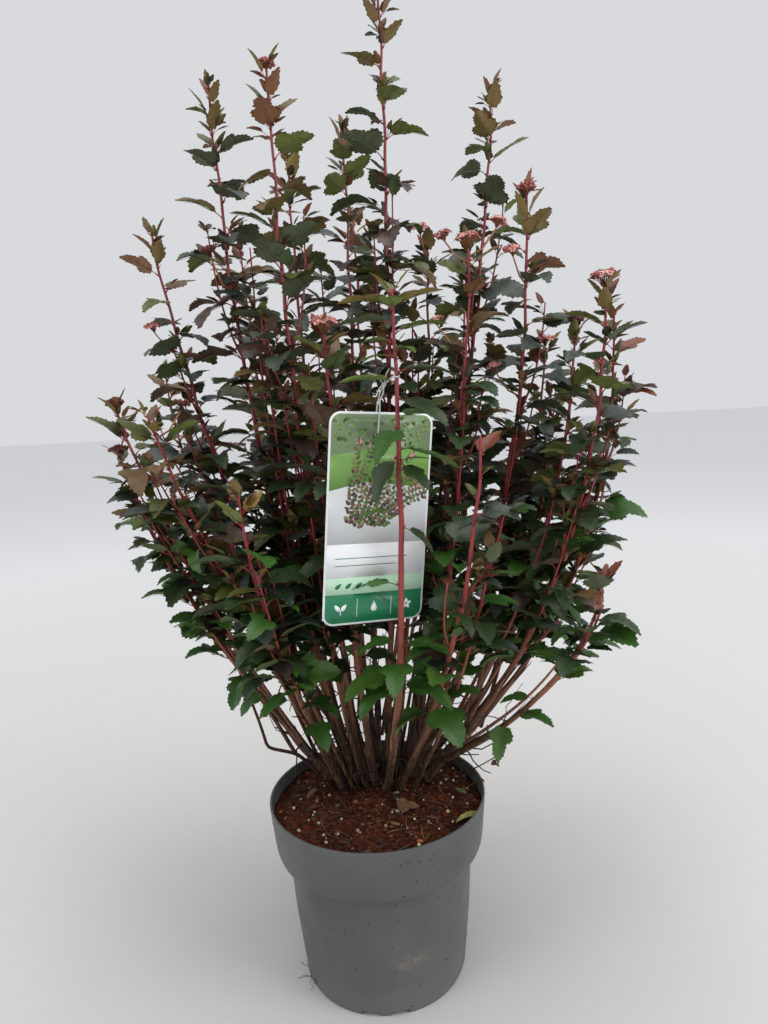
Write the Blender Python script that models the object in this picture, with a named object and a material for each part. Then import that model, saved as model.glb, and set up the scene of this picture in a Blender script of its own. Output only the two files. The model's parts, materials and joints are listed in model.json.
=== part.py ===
"""A ninebark in its nursery pot: the pot, the potting mix, the stems and boughs that rise from it,
one mass of leaves round the upper part of each, and the hang label tied to the front stem.

Lengths are in metres. +Z is up and +Y points away from the front. The origin is on the pot's axis,
on its flat underside.
"""

import math
import random

import bmesh
import bpy
from mathutils import Matrix, Vector

# Pot
POT_HEIGHT = 0.1834
RIM_RADIUS = 0.1055
WALL = 0.0023
FLOOR = 0.0023
POT_SIDES = 30
NOTCH_PAIRS = 3
NOTCH_WIDTH = 0.018
NOTCH_SPACING = 0.027
NOTCH_HEIGHT = 0.005
NOTCH_DEPTH = 0.012
# Outer face of the pot from the foot to the rim, as (radius, height)
POT_OUTLINE = (
    (0.0785, 0.0),
    (0.0802, 0.004),
    (0.0825, 0.026),
    (0.0867, 0.070),
    (0.0897, 0.125),
    (0.0930, 0.127),
    (0.0985, 0.131),
    (0.1010, 0.137),
    (0.1022, 0.145),
    (0.1035, 0.160),
)
# The inner face follows the outline from this point up, and below it runs straight to the foot
INSIDE_FROM = 4

# Potting mix, and the gap that is left where two pieces meet
MIX_TOP = 0.174
MIX_FLAT = 0.095
MIX_EDGE_DROP = 0.002
TOUCH = 0.0003

# Clump: the feet of the stems lie close together, spread less than the tips
CLUMP_CENTRE = Vector((0.0, 0.050))
CLUMP_SPREAD = Vector((0.23, 0.17))
STEM_FOOT = MIX_TOP + TOUCH
FLARE = 0.45
FLARE_HEIGHT = 0.010
STEM_RADIUS = 0.0034
BOUGH_RADIUS = 0.0027
TAPER = 0.0048
TUBE_SIDES = 6
TUBE_STEP = 0.022
FORK_TURN = math.tau / TUBE_SIDES

# Masses of leaves
LEAF_SIDES = 8
LEVEL_STEP = 0.050
SHORTEST_STEP = 0.018
CROWN_TIP = 0.012
TIP_ROUNDING = 0.030
FOOT_ROUNDING = 0.030
FOOT_FULLNESS = 0.40
MASS_GAP = 0.0015
CANE_GAP = 0.0015
NARROWEST = 0.003
# Uneven outline of a mass: waves round it, as (count, depth), that turn as they rise, in rad per m
LUMPS = ((1, 0.10), (2, 0.12), (3, 0.12))
LUMP_TWIST = (25.0, 60.0)
# The lowest masses hold the freshest green leaves
FRESH_BELOW = 0.55

# Hang label and its tie
LABEL_WIDTH = 0.086
LABEL_HEIGHT = 0.166
LABEL_THICKNESS = 0.0006
LABEL_CORNER = 0.009
LABEL_CENTRE = Vector((0.0185, -0.115, 0.474))
LABEL_PITCH = math.radians(3.0)
LABEL_ROLL = math.radians(5.0)
LABEL_YAW = math.radians(25.0)
LABEL_GAP = 0.003
CORNER_STEPS = 3
HOLE_RADIUS = 0.0030
HOLE_SIDES = 10
HOLE_OFFSET = Vector((-0.0045, 0.0, 0.0640))
TIE_RADIUS = 0.0005
TIE_HEIGHT = 0.583
# The tie passes this far in front of and behind the card, and clears the card's top edge
TIE_STAND_OFF = 0.0022
TIE_TOP_GAP = 0.004
# Its two strands draw together this far apart, at this share of the way up to the stem
TIE_PINCH = 0.0026
TIE_PINCH_AT = 0.62
TIE_TURN_STEPS = 4


class Cane:
    """One stem or bough: it bows outward from its foot and straightens towards its tip."""

    def __init__(self, name, tip, bow, leafy_from, spread=0.042, on=None, fork=0.0):
        self.name = name
        self.tip = Vector(tip)
        self.bow = bow
        self.leafy_from = leafy_from
        self.spread = spread
        self.parent = on
        if on is None:
            self.radius = STEM_RADIUS
            offset = self.tip.xy - CLUMP_CENTRE
            foot = CLUMP_CENTRE + Vector(a * b for a, b in zip(offset, CLUMP_SPREAD))
            self.foot = Vector((foot.x, foot.y, STEM_FOOT))
        else:
            self.radius = BOUGH_RADIUS
            self.foot = self.seat_on(on, fork)

    def seat_on(self, stem, fork):
        """The foot beside the stem, on the corner of it that faces this bough's tip."""
        height = MIX_TOP + fork
        away = self.tip.xy - stem.tip.xy
        turn = round(math.atan2(away.y, away.x) / FORK_TURN) * FORK_TURN
        reach = stem.thickness(height) + self.radius + TOUCH
        side = Vector((math.cos(turn), math.sin(turn), 0.0)) * reach
        return stem.centre(height) + side

    def centre(self, height):
        rise = (height - self.foot.z) / (self.tip.z - self.foot.z)
        reach = 1.0 - (1.0 - min(max(rise, 0.0), 1.0)) ** self.bow
        point = self.foot.xy.lerp(self.tip.xy, reach)
        return Vector((point.x, point.y, height))

    def thickness(self, height):
        """Radius of the wood: it tapers upward, and a stem widens where it leaves the mix."""
        rise = height - self.foot.z
        plain = self.radius - TAPER * rise
        if self.parent is None:
            plain *= 1.0 + FLARE * math.exp(-rise / FLARE_HEIGHT)
        return plain


def canes():
    """Stems stand on the mix. Boughs fork from the side of a stem, a little above the mix."""
    made = {}

    def stem(name, *sizes, **more):
        made[name] = Cane(name, *sizes, **more)

    def bough(name, on, fork, *sizes, **more):
        made[name] = Cane(name, *sizes, on=made[on], fork=fork, **more)

    stem("left_low", (-0.211, -0.020, 0.530), 1.4, 0.310, spread=0.038)
    stem("left_copper", (-0.154, -0.110, 0.563), 1.1, 0.300)
    stem("left_high", (-0.169, 0.000, 0.720), 1.3, 0.300)
    stem("left_tall", (-0.104, -0.020, 0.825), 2.0, 0.320)
    stem("left_bud", (-0.050, -0.060, 0.826), 2.6, 0.310)
    stem("left_back", (-0.055, 0.080, 0.794), 2.4, 0.330)
    stem("leader", (0.039, 0.000, 0.908), 2.0, 0.330)
    stem("front_corymb", (-0.015, -0.100, 0.622), 1.6, 0.320, spread=0.040)
    stem("front_centre", (0.038, -0.145, 0.643), 2.6, 0.592, spread=0.036)
    stem("front_right", (0.096, -0.150, 0.538), 1.6, 0.300)
    stem("right_tall", (0.136, 0.040, 0.835), 1.4, 0.320)
    stem("right_second", (0.155, -0.020, 0.733), 2.2, 0.310)
    stem("right_corymb", (0.208, -0.065, 0.648), 2.2, 0.300, spread=0.038)
    stem("right_edge", (0.242, 0.030, 0.630), 2.5, 0.300, spread=0.040)
    stem("back_left", (-0.120, 0.150, 0.740), 1.7, 0.320, spread=0.046)
    stem("back_middle", (0.000, 0.200, 0.760), 1.7, 0.320, spread=0.046)
    stem("back_right", (0.120, 0.160, 0.700), 1.7, 0.320, spread=0.046)
    bough("left_corymb", "left_low", 0.035, (-0.190, -0.075, 0.573), 1.3, 0.310, spread=0.038)
    bough("front_left", "left_copper", 0.045, (-0.085, -0.130, 0.500), 1.6, 0.290)
    bough("middle_back", "left_back", 0.060, (0.000, 0.070, 0.817), 1.6, 0.340)
    bough("middle_copper", "leader", 0.050, (0.074, 0.050, 0.708), 1.8, 0.330)
    bough("right_trio", "right_second", 0.050, (0.102, -0.045, 0.687), 1.6, 0.320)
    bough("right_pink", "right_edge", 0.045, (0.187, 0.075, 0.610), 1.5, 0.320, spread=0.038)
    bough("right_inner", "right_corymb", 0.060, (0.199, 0.000, 0.622), 1.9, 0.330, spread=0.036)
    bough("right_low", "right_corymb", 0.030, (0.192, -0.115, 0.420), 1.7, 0.315, spread=0.030)
    bough("far_left", "back_left", 0.040, (-0.195, 0.090, 0.600), 1.7, 0.310, spread=0.046)
    bough("far_right", "back_right", 0.040, (0.205, 0.140, 0.560), 1.7, 0.310, spread=0.046)
    bough("far_back", "back_middle", 0.040, (0.065, 0.235, 0.560), 1.7, 0.310, spread=0.046)
    return list(made.values())


def finish(name, colour, roughness):
    made = bpy.data.materials.new(name)
    made.use_nodes = True
    shader = made.node_tree.nodes["Principled BSDF"]
    shader.inputs["Base Color"].default_value = (*colour, 1.0)
    shader.inputs["Roughness"].default_value = roughness
    shader.inputs["Metallic"].default_value = 0.0
    return made


def place(name, work, material, sharp=math.radians(40.0)):
    """Turn the working mesh into a named object with one material."""
    bmesh.ops.recalc_face_normals(work, faces=work.faces)
    mesh = bpy.data.meshes.new(name)
    work.to_mesh(mesh)
    work.free()
    mesh.materials.append(material)
    mesh.shade_smooth()
    mesh.set_sharp_from_angle(angle=sharp)
    made = bpy.data.objects.new(name, mesh)
    bpy.context.scene.collection.objects.link(made)
    return made


def loft(name, rings, material, apex=None):
    """A closed skin over rings of points, flat at its foot, and flat or drawn to a point on top."""
    work = bmesh.new()
    rows = [[work.verts.new(point) for point in ring] for ring in rings]
    sides = len(rows[0])
    for low, high in zip(rows, rows[1:]):
        for side in range(sides):
            after = (side + 1) % sides
            work.faces.new((low[side], low[after], high[after], high[side]))
    work.faces.new(rows[0][::-1])
    if apex is None:
        work.faces.new(rows[-1])
    else:
        point = work.verts.new(apex)
        for side in range(sides):
            work.faces.new((rows[-1][side], rows[-1][(side + 1) % sides], point))
    return place(name, work, material)


def turned(name, outline, material):
    """A round piece: the outline, as (radius, height), swept once round the axis."""
    work = bmesh.new()
    points = [work.verts.new((radius, 0.0, height)) for radius, height in outline]
    edges = [work.edges.new(pair) for pair in zip(points, points[1:])]
    bmesh.ops.spin(
        work,
        geom=points + edges,
        cent=(0.0, 0.0, 0.0),
        axis=(0.0, 0.0, 1.0),
        angle=math.tau,
        steps=POT_SIDES,
        use_merge=True,
    )
    bmesh.ops.remove_doubles(work, verts=work.verts, dist=0.00001)
    return place(name, work, material)


def pot(material):
    """A moulded shell: straight foot, tapering body and a wider collar with a plain rim."""
    outline = [(0.0, 0.0), *POT_OUTLINE, (RIM_RADIUS, POT_HEIGHT)]
    outline += [*reversed(inside_wall(WALL)), (0.0, FLOOR)]
    made = turned("pot", outline, material)
    cut = made.modifiers.new("foot notches", "BOOLEAN")
    cut.operation = "DIFFERENCE"
    cut.object = notch_cutter()
    return made


def inside_wall(clear):
    """The pot's inner face, or one that stands clear of it, as (radius, height) from foot to rim."""
    foot = (POT_OUTLINE[1][0] - clear, FLOOR + clear - WALL)
    body = [(radius - clear, height + clear) for radius, height in POT_OUTLINE[INSIDE_FROM:]]
    return [foot, *body, (RIM_RADIUS - clear, POT_HEIGHT)]


def notch_cutter():
    """Low notches in the foot, in pairs, through the wall and the edge of the floor."""
    work = bmesh.new()
    for pair in range(NOTCH_PAIRS):
        for side in (-0.5, 0.5):
            box = bmesh.ops.create_cube(work, size=1.0)["verts"]
            # The box is centred on the foot's lower edge, so half of it lies in the pot
            size = Matrix.Diagonal((NOTCH_DEPTH * 2, NOTCH_WIDTH, NOTCH_HEIGHT * 2, 1.0))
            move = Matrix.Translation((POT_OUTLINE[0][0], side * NOTCH_SPACING, 0.0))
            turn = Matrix.Rotation(math.tau * pair / NOTCH_PAIRS - math.pi / 2, 4, "Z")
            bmesh.ops.transform(work, matrix=turn @ move @ size, verts=box)
    mesh = bpy.data.meshes.new("notch_cutter")
    work.to_mesh(mesh)
    work.free()
    cutter = bpy.data.objects.new("notch_cutter", mesh)
    cutter.hide_render = True
    cutter.display_type = "WIRE"
    bpy.context.scene.collection.objects.link(cutter)
    return cutter


def potting_mix(material):
    """The root ball fills the pot to just under its rim, and lies flat where the stems stand."""
    *wall, collar, rim = inside_wall(WALL + TOUCH)
    edge_height = MIX_TOP - MIX_EDGE_DROP
    share = (edge_height - collar[1]) / (rim[1] - collar[1])
    edge_radius = collar[0] + (rim[0] - collar[0]) * share
    outline = [(0.0, FLOOR + TOUCH), *wall, collar, (edge_radius, edge_height)]
    outline += [(MIX_FLAT, MIX_TOP), (0.0, MIX_TOP)]
    return turned("potting_mix", outline, material)


def limb(cane, material):
    """The bare length of a stem or bough, up to where its leaves begin."""
    top = cane.leafy_from - TOUCH
    steps = max(3, round((top - cane.foot.z) / TUBE_STEP))
    heights = [cane.foot.z + (top - cane.foot.z) * (step / steps) for step in range(steps + 1)]
    if cane.parent is None:
        heights.insert(1, cane.foot.z + FLARE_HEIGHT)
    rings = []
    for height in heights:
        centre = cane.centre(height)
        radius = cane.thickness(height)
        rings.append([
            centre + Vector((math.cos(turn), math.sin(turn), 0.0)) * radius
            for turn in (FORK_TURN * side for side in range(TUBE_SIDES))
        ])
    kind = "stem" if cane.parent is None else "bough"
    return loft(f"{kind}_{cane.name}", rings, material)


def label_frame():
    turn = Matrix.Rotation(LABEL_YAW, 4, "Z")
    turn = turn @ Matrix.Rotation(LABEL_PITCH, 4, "X") @ Matrix.Rotation(LABEL_ROLL, 4, "Y")
    return Matrix.Translation(LABEL_CENTRE) @ turn


def label_edge(side, height):
    """The point of the label's left (-1) or right (1) edge at this height, or its nearest end."""
    frame = label_frame()
    low = frame @ Vector((side * LABEL_WIDTH / 2, 0.0, -LABEL_HEIGHT / 2))
    high = frame @ Vector((side * LABEL_WIDTH / 2, 0.0, LABEL_HEIGHT / 2))
    share = (height - low.z) / (high.z - low.z)
    return low.lerp(high, min(max(share, 0.0), 1.0)).xy


def walls_round(cane, height, others):
    """Upright planes that a mass stays behind at this height, each as (direction, distance)."""
    here = cane.centre(height).xy
    walls = []
    for other in others:
        if other is cane or height > other.tip.z + LEVEL_STEP:
            continue
        offset = other.centre(min(height, other.tip.z)).xy - here
        if height > other.leafy_from - LEVEL_STEP:
            walls.append((offset.normalized(), offset.length / 2 - MASS_GAP))
        else:
            walls.append((offset.normalized(), offset.length - other.thickness(height) - CANE_GAP))
    if abs(height - LABEL_CENTRE.z) < LABEL_HEIGHT / 2 + LEVEL_STEP:
        left = label_edge(-1, height)
        right = label_edge(1, height)
        along = right - left
        share = min(max((here - left).dot(along) / along.dot(along), 0.0), 1.0)
        offset = left + along * share - here
        walls.append((offset.normalized(), offset.length - LABEL_GAP))
    return walls


def reach(cane, height, turn, walls, waves):
    """How far the leaves stand out from the wood in one direction."""
    foot = 1.0 - (1.0 - FOOT_FULLNESS) * math.exp((cane.leafy_from - height) / FOOT_ROUNDING)
    tip = 1.0 - math.exp((height - cane.tip.z) / TIP_ROUNDING)
    lump = 1.0 + sum(
        depth * math.sin(count * turn + start + twist * height)
        for count, depth, start, twist in waves
    )
    way = Vector((math.cos(turn), math.sin(turn)))
    limit = min(
        (distance / way.dot(side) for side, distance in walls if way.dot(side) > 0.001),
        default=cane.spread * 2,
    )
    return max(min(cane.spread * foot * tip * lump, limit), NARROWEST)


def leaf_mass(cane, others, material):
    """The space that a cane's leaves fill: an uneven plume that thins to the cane's tip."""
    seed = random.Random(cane.name)
    waves = [
        (count, depth, seed.uniform(0.0, math.tau), seed.uniform(*LUMP_TWIST))
        for count, depth in LUMPS
    ]
    last = cane.tip.z - CROWN_TIP
    heights = [cane.leafy_from]
    level = (math.floor(cane.leafy_from / LEVEL_STEP) + 1) * LEVEL_STEP
    while level < last - SHORTEST_STEP:
        if level > cane.leafy_from + SHORTEST_STEP:
            heights.append(level)
        level += LEVEL_STEP
    heights.append(last)
    start = seed.uniform(0.0, math.tau)
    turns = [start + math.tau * side / LEAF_SIDES for side in range(LEAF_SIDES)]
    rings = []
    for height in heights:
        centre = cane.centre(height)
        walls = walls_round(cane, height, others)
        rings.append([
            centre + Vector((math.cos(turn), math.sin(turn), 0.0))
            * reach(cane, height, turn, walls, waves)
            for turn in turns
        ])
    return loft(f"leaves_{cane.name}", rings, material, apex=cane.tip)


def label(material):
    """A thin upright card with round corners and a punched hole near its top."""
    work = bmesh.new()
    outline = []
    for quarter in range(4):
        right = 1 if quarter in (0, 3) else -1
        up = 1 if quarter in (0, 1) else -1
        across = right * (LABEL_WIDTH / 2 - LABEL_CORNER)
        middle = Vector((across, 0.0, up * (LABEL_HEIGHT / 2 - LABEL_CORNER)))
        for step in range(CORNER_STEPS + 1):
            turn = math.pi / 2 * (quarter + step / CORNER_STEPS)
            outline.append(middle + Vector((math.cos(turn), 0.0, math.sin(turn))) * LABEL_CORNER)
    face = work.faces.new([work.verts.new(point) for point in outline])
    back = bmesh.ops.extrude_face_region(work, geom=[face])["geom"]
    moved = [item for item in back if isinstance(item, bmesh.types.BMVert)]
    bmesh.ops.translate(work, vec=(0.0, LABEL_THICKNESS, 0.0), verts=moved)
    made = place("label", work, material)
    made.matrix_world = label_frame()
    punch = bmesh.new()
    bmesh.ops.create_cone(
        punch,
        cap_ends=True,
        segments=HOLE_SIDES,
        radius1=HOLE_RADIUS,
        radius2=HOLE_RADIUS,
        depth=HOLE_RADIUS * 2,
        matrix=Matrix.Translation(HOLE_OFFSET) @ Matrix.Rotation(math.pi / 2, 4, "X"),
    )
    mesh = bpy.data.meshes.new("hole_punch")
    punch.to_mesh(mesh)
    punch.free()
    cutter = bpy.data.objects.new("hole_punch", mesh)
    cutter.matrix_world = label_frame()
    cutter.hide_render = True
    cutter.display_type = "WIRE"
    bpy.context.scene.collection.objects.link(cutter)
    cut = made.modifiers.new("hole", "BOOLEAN")
    cut.operation = "DIFFERENCE"
    cut.object = cutter
    return made


def label_tie(cane, material):
    """A loop of elastic through the label's hole and round the front stem."""
    frame = label_frame()
    hole = frame @ (HOLE_OFFSET + Vector((0.0, LABEL_THICKNESS / 2, 0.0)))
    out = frame.to_3x3() @ Vector((0.0, -1.0, 0.0))
    up = frame.to_3x3() @ Vector((0.0, 0.0, 1.0))
    low = hole + up * (HOLE_RADIUS - TIE_RADIUS - TOUCH * 1.5)
    top = hole + up * (LABEL_HEIGHT / 2 - HOLE_OFFSET.z + TIE_TOP_GAP)
    cane_at = cane.centre(TIE_HEIGHT)
    ring = cane.thickness(TIE_HEIGHT) + TIE_RADIUS + TOUCH * 1.5
    meet = top.lerp(cane_at, TIE_PINCH_AT)
    apart = Vector((TIE_PINCH / 2, 0.0, 0.0))
    before = out * TIE_STAND_OFF
    lift = up * TIE_STAND_OFF
    points = [low, low + before + lift, top + before - apart, meet - apart]
    for step in range(TIE_TURN_STEPS + 1):
        turn = math.pi * (1.0 + step / TIE_TURN_STEPS)
        points.append(cane_at + Vector((math.cos(turn), math.sin(turn), 0.0)) * ring)
    points += [meet + apart, top - before + apart, low - before + lift]
    data = bpy.data.curves.new("label_tie", "CURVE")
    data.dimensions = "3D"
    data.resolution_u = 2
    data.bevel_depth = TIE_RADIUS
    data.bevel_resolution = 0
    spline = data.splines.new("BEZIER")
    spline.bezier_points.add(len(points) - 1)
    for knot, point in zip(spline.bezier_points, points):
        knot.co = point
        knot.handle_left_type = "AUTO"
        knot.handle_right_type = "AUTO"
    spline.use_cyclic_u = True
    data.materials.append(material)
    made = bpy.data.objects.new("label_tie", data)
    bpy.context.scene.collection.objects.link(made)
    return made


def build():
    for thing in list(bpy.data.objects):
        bpy.data.objects.remove(thing, do_unlink=True)
    pot(finish("grey plastic", (0.20, 0.225, 0.235), 0.55))
    potting_mix(finish("potting mix", (0.055, 0.022, 0.012), 0.95))
    wood = finish("stem bark", (0.16, 0.075, 0.045), 0.75)
    young = finish("bough bark", (0.19, 0.035, 0.030), 0.55)
    purple = finish("purple-green leaves", (0.035, 0.050, 0.030), 0.55)
    copper = finish("copper leaves", (0.150, 0.055, 0.020), 0.55)
    fresh = finish("fresh green leaves", (0.045, 0.110, 0.020), 0.55)
    everything = canes()
    for cane in everything:
        limb(cane, wood if cane.parent is None else young)
        tint = copper if "copper" in cane.name else purple
        leaf_mass(cane, everything, fresh if cane.tip.z < FRESH_BELOW else tint)
    label(finish("label card", (0.55, 0.62, 0.52), 0.35))
    front = next(cane for cane in everything if cane.name == "front_centre")
    label_tie(front, finish("white elastic", (0.80, 0.80, 0.78), 0.6))


build()
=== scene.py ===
# %% [markdown]
# # A ninebark in its nursery pot
# A ninebark is a garden shrub with many stems, lobed dark leaves and domed heads of small flowers.
# This one stands in the grey pot that it is sold in, with a plant label tied to its front stem.
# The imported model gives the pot, each stem and each mass of leaves as a plain solid at its real
# size. This script keeps those places and sizes, and grows the real surface on them.

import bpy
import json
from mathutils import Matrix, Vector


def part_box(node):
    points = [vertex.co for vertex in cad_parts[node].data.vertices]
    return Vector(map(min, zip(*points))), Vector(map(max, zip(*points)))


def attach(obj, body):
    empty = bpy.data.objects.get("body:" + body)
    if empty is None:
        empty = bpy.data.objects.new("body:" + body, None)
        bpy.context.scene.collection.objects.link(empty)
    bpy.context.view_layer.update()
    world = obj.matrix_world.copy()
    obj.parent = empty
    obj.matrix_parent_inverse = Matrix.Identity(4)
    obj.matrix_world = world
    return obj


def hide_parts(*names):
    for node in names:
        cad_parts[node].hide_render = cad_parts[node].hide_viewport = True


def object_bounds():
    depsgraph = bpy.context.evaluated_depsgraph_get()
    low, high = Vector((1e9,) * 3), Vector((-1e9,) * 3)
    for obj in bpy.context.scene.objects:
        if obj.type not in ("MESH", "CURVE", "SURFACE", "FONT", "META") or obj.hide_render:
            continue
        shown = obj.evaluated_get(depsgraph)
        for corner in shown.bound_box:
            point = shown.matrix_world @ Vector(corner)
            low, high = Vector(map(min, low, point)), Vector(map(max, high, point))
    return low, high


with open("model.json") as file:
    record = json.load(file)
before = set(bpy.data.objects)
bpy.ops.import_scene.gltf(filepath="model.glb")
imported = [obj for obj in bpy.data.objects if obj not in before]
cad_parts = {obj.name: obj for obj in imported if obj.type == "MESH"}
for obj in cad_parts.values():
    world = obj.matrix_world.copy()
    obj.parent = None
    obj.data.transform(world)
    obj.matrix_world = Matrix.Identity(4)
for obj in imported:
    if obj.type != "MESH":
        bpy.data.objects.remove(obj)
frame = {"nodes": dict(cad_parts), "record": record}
cad_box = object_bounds()
print("plain model from", [round(v, 3) for v in cad_box[0]], "to", [round(v, 3) for v in cad_box[1]])

# %% [markdown]
# ## What is needed from Blender
# Thousands of leaves are quick to make when their corners are worked out as arrays of numbers, so
# numpy does the shaping. Blender's own triangulation lays out one flat leaf, its noise roughens the
# bark and the potting mix, and its material nodes give every surface its finish.

# %% Modules
import json
import math
import random

import bpy
import numpy as np
from mathutils import Matrix, Vector, geometry, noise

UP = np.array((0.0, 0.0, 1.0))
MM = 0.001
# Blender seeds its vector noise from the clock, so a seed of its own keeps each run the same
NOISE_SEED = 1795656813
noise.seed_set(NOISE_SEED)

# %% [markdown]
# ## Camera
# The photograph was taken from less than a metre away, a little above the middle of the plant, with
# the camera tipped down and turned slightly. A real lens is copied by its place, its three turns
# and its focal length. Building the camera's matrix from turns keeps each of those readable.

# %% The camera
CAMERA_PLACE = (0.0354, -0.7015, 0.5807)
CAMERA_YAW = math.radians(1.16)
CAMERA_DIP = math.radians(9.75)
CAMERA_ROLL = math.radians(-3.05)
LENS_MM = 27.04
FILM_MM = 36.0


def add_camera():
    lens = bpy.data.cameras.new("camera")
    lens.lens = LENS_MM
    lens.sensor_width = FILM_MM
    lens.clip_start = 0.01
    made = bpy.data.objects.new("camera", lens)
    turn = Matrix.Rotation(CAMERA_YAW, 4, "Z")
    turn = turn @ Matrix.Rotation(math.pi / 2 - CAMERA_DIP, 4, "X")
    turn = turn @ Matrix.Rotation(CAMERA_ROLL, 4, "Z")
    made.matrix_world = Matrix.Translation(CAMERA_PLACE) @ turn
    bpy.context.scene.collection.objects.link(made)
    bpy.context.scene.camera = made
    return made


camera = add_camera()
print("camera", round(CAMERA_PLACE[2] * 100), "cm above the floor")

# %% [markdown]
# ## Light and floor
# The plant stands in a pale room with even light from above and from both sides. A pale sky of one
# colour fills every shadow softly, and three large lamps shape the leaves: one overhead, and one on
# each side of the camera, so that the middle of the pot stays a little darker than its sides.

# %% Light and floor
SKY_COLOUR = (0.69, 0.70, 0.72)
SKY_STRENGTH = 1.0
FLOOR_COLOUR = (0.52, 0.51, 0.495)
FLOOR_HALF = 9.0
# Painted light: the floor's colour is painted paler with distance, from the first to the second of these in
# metres
FLOOR_PAINTED_LIGHT_COLOUR = (0.86, 0.87, 0.87)
FLOOR_PAINTED_LIGHT_SPAN = (0.3, 2.2)
# Each lamp: its name, its place, its size in metres, its power in watts
LAMPS = (
    ("overhead lamp", (0.1, -0.2, 2.3), 1.6, 26.0),
    ("left lamp", (-1.7, -1.2, 1.3), 1.0, 12.0),
    ("right lamp", (1.6, -0.9, 1.2), 1.0, 17.0),
)


def light_the_scene():
    scene = bpy.context.scene
    scene.view_settings.view_transform = "Standard"
    scene.world = bpy.data.worlds.new("pale room")
    scene.world.use_nodes = True
    sky = scene.world.node_tree.nodes["Background"]
    sky.inputs["Color"].default_value = (*SKY_COLOUR, 1.0)
    sky.inputs["Strength"].default_value = SKY_STRENGTH
    for name, place, size, power in LAMPS:
        lamp = bpy.data.lights.new(name, "AREA")
        lamp.size = size
        lamp.energy = power
        made = bpy.data.objects.new(name, lamp)
        aim = Vector((0.0, 0.0, 0.45)) - Vector(place)
        made.matrix_world = Matrix.Translation(place) @ aim.to_track_quat("-Z", "Y").to_matrix().to_4x4()
        scene.collection.objects.link(made)


def add_floor():
    mesh = bpy.data.meshes.new("floor")
    corners = [(x * FLOOR_HALF, y * FLOOR_HALF, 0.0) for x, y in ((-1, -1), (1, -1), (1, 1), (-1, 1))]
    mesh.from_pydata(corners, [], [(0, 1, 2, 3)])
    made = bpy.data.objects.new("floor", mesh)
    bpy.context.scene.collection.objects.link(made)
    return made


light_the_scene()
floor = add_floor()

# %% [markdown]
# ## A helper for finishes
# Every surface here starts from the Principled shader. Values that are the same all over are set on
# the shader's own sockets. Patterns are built from noise in the object's own coordinates, so that
# they stay on the object when it moves.

# %% Finishes: the helper
class Finish:
    """A Principled material, with short ways to add patterns to it."""

    def __init__(self, name, colour, roughness, **sockets):
        self.material = bpy.data.materials.new(name)
        self.material.use_nodes = True
        self.tree = self.material.node_tree
        self.shader = self.tree.nodes["Principled BSDF"]
        self.shader.inputs["Base Color"].default_value = (*colour, 1.0)
        self.shader.inputs["Roughness"].default_value = roughness
        for socket, value in sockets.items():
            self.shader.inputs[socket.replace("_", " ")].default_value = value
        self.place = None

    def add(self, kind, **settings):
        node = self.tree.nodes.new(kind)
        for setting, value in settings.items():
            setattr(node, setting, value)
        return node

    def join(self, out, into):
        self.tree.links.new(out, into)
        return into

    def coordinates(self, stretch=(1.0, 1.0, 1.0), source="Object"):
        """The object's own coordinates, stretched along each axis."""
        if self.place is None:
            self.place = self.add("ShaderNodeTexCoord")
        scale = self.add("ShaderNodeMapping")
        scale.inputs["Scale"].default_value = stretch
        self.join(self.place.outputs[source], scale.inputs["Vector"])
        return scale.outputs["Vector"]

    def noise(self, scale, detail=3.0, stretch=(1.0, 1.0, 1.0), rough=0.55, source="Object"):
        node = self.add("ShaderNodeTexNoise")
        node.inputs["Scale"].default_value = scale
        node.inputs["Detail"].default_value = detail
        node.inputs["Roughness"].default_value = rough
        self.join(self.coordinates(stretch, source), node.inputs["Vector"])
        return node.outputs["Fac"]

    def ramp(self, value, stops):
        """Colours or greys along a value, as (position, colour) stops."""
        node = self.add("ShaderNodeValToRGB")
        elements = node.color_ramp.elements
        while len(elements) < len(stops):
            elements.new(0.5)
        for element, (position, colour) in zip(elements, stops):
            element.position = position
            element.color = (*colour, 1.0) if len(colour) == 3 else colour
        self.join(value, node.inputs["Fac"])
        return node.outputs["Color"]

    def mix(self, share, first, second, blend="MIX"):
        node = self.add("ShaderNodeMix", data_type="RGBA", blend_type=blend)
        for value, socket in ((share, node.inputs[0]), (first, node.inputs[6]), (second, node.inputs[7])):
            if isinstance(value, (int, float)):
                socket.default_value = value
            elif isinstance(value, tuple):
                socket.default_value = (*value, 1.0)
            else:
                self.join(value, socket)
        return node.outputs[2]

    def span(self, value, low, high, to_low=0.0, to_high=1.0):
        """The value's place between two limits, held at both ends."""
        node = self.add("ShaderNodeMapRange")
        for socket, number in zip(node.inputs[1:5], (low, high, to_low, to_high)):
            socket.default_value = number
        self.join(value, node.inputs["Value"])
        return node.outputs["Result"]

    def colour(self, output):
        self.join(output, self.shader.inputs["Base Color"])

    def roughness(self, output):
        self.join(output, self.shader.inputs["Roughness"])

    def bump(self, output, depth, strength=1.0):
        node = self.add("ShaderNodeBump")
        node.inputs["Distance"].default_value = depth
        node.inputs["Strength"].default_value = strength
        self.join(output, node.inputs["Height"])
        self.join(node.outputs["Normal"], self.shader.inputs["Normal"])


def pale_floor():
    finish = Finish("pale floor", FLOOR_COLOUR, 0.7)
    far = finish.add("ShaderNodeVectorMath", operation="LENGTH")
    finish.join(finish.coordinates(), far.inputs[0])
    # Painted light: the floor is painted paler with distance from its middle
    faded = finish.span(far.outputs["Value"], *FLOOR_PAINTED_LIGHT_SPAN)
    finish.colour(finish.ramp(faded, ((0.0, FLOOR_COLOUR), (1.0, FLOOR_PAINTED_LIGHT_COLOUR))))
    finish.bump(finish.noise(90.0), 0.0003)
    return finish.material


floor.data.materials.append(pale_floor())

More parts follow.
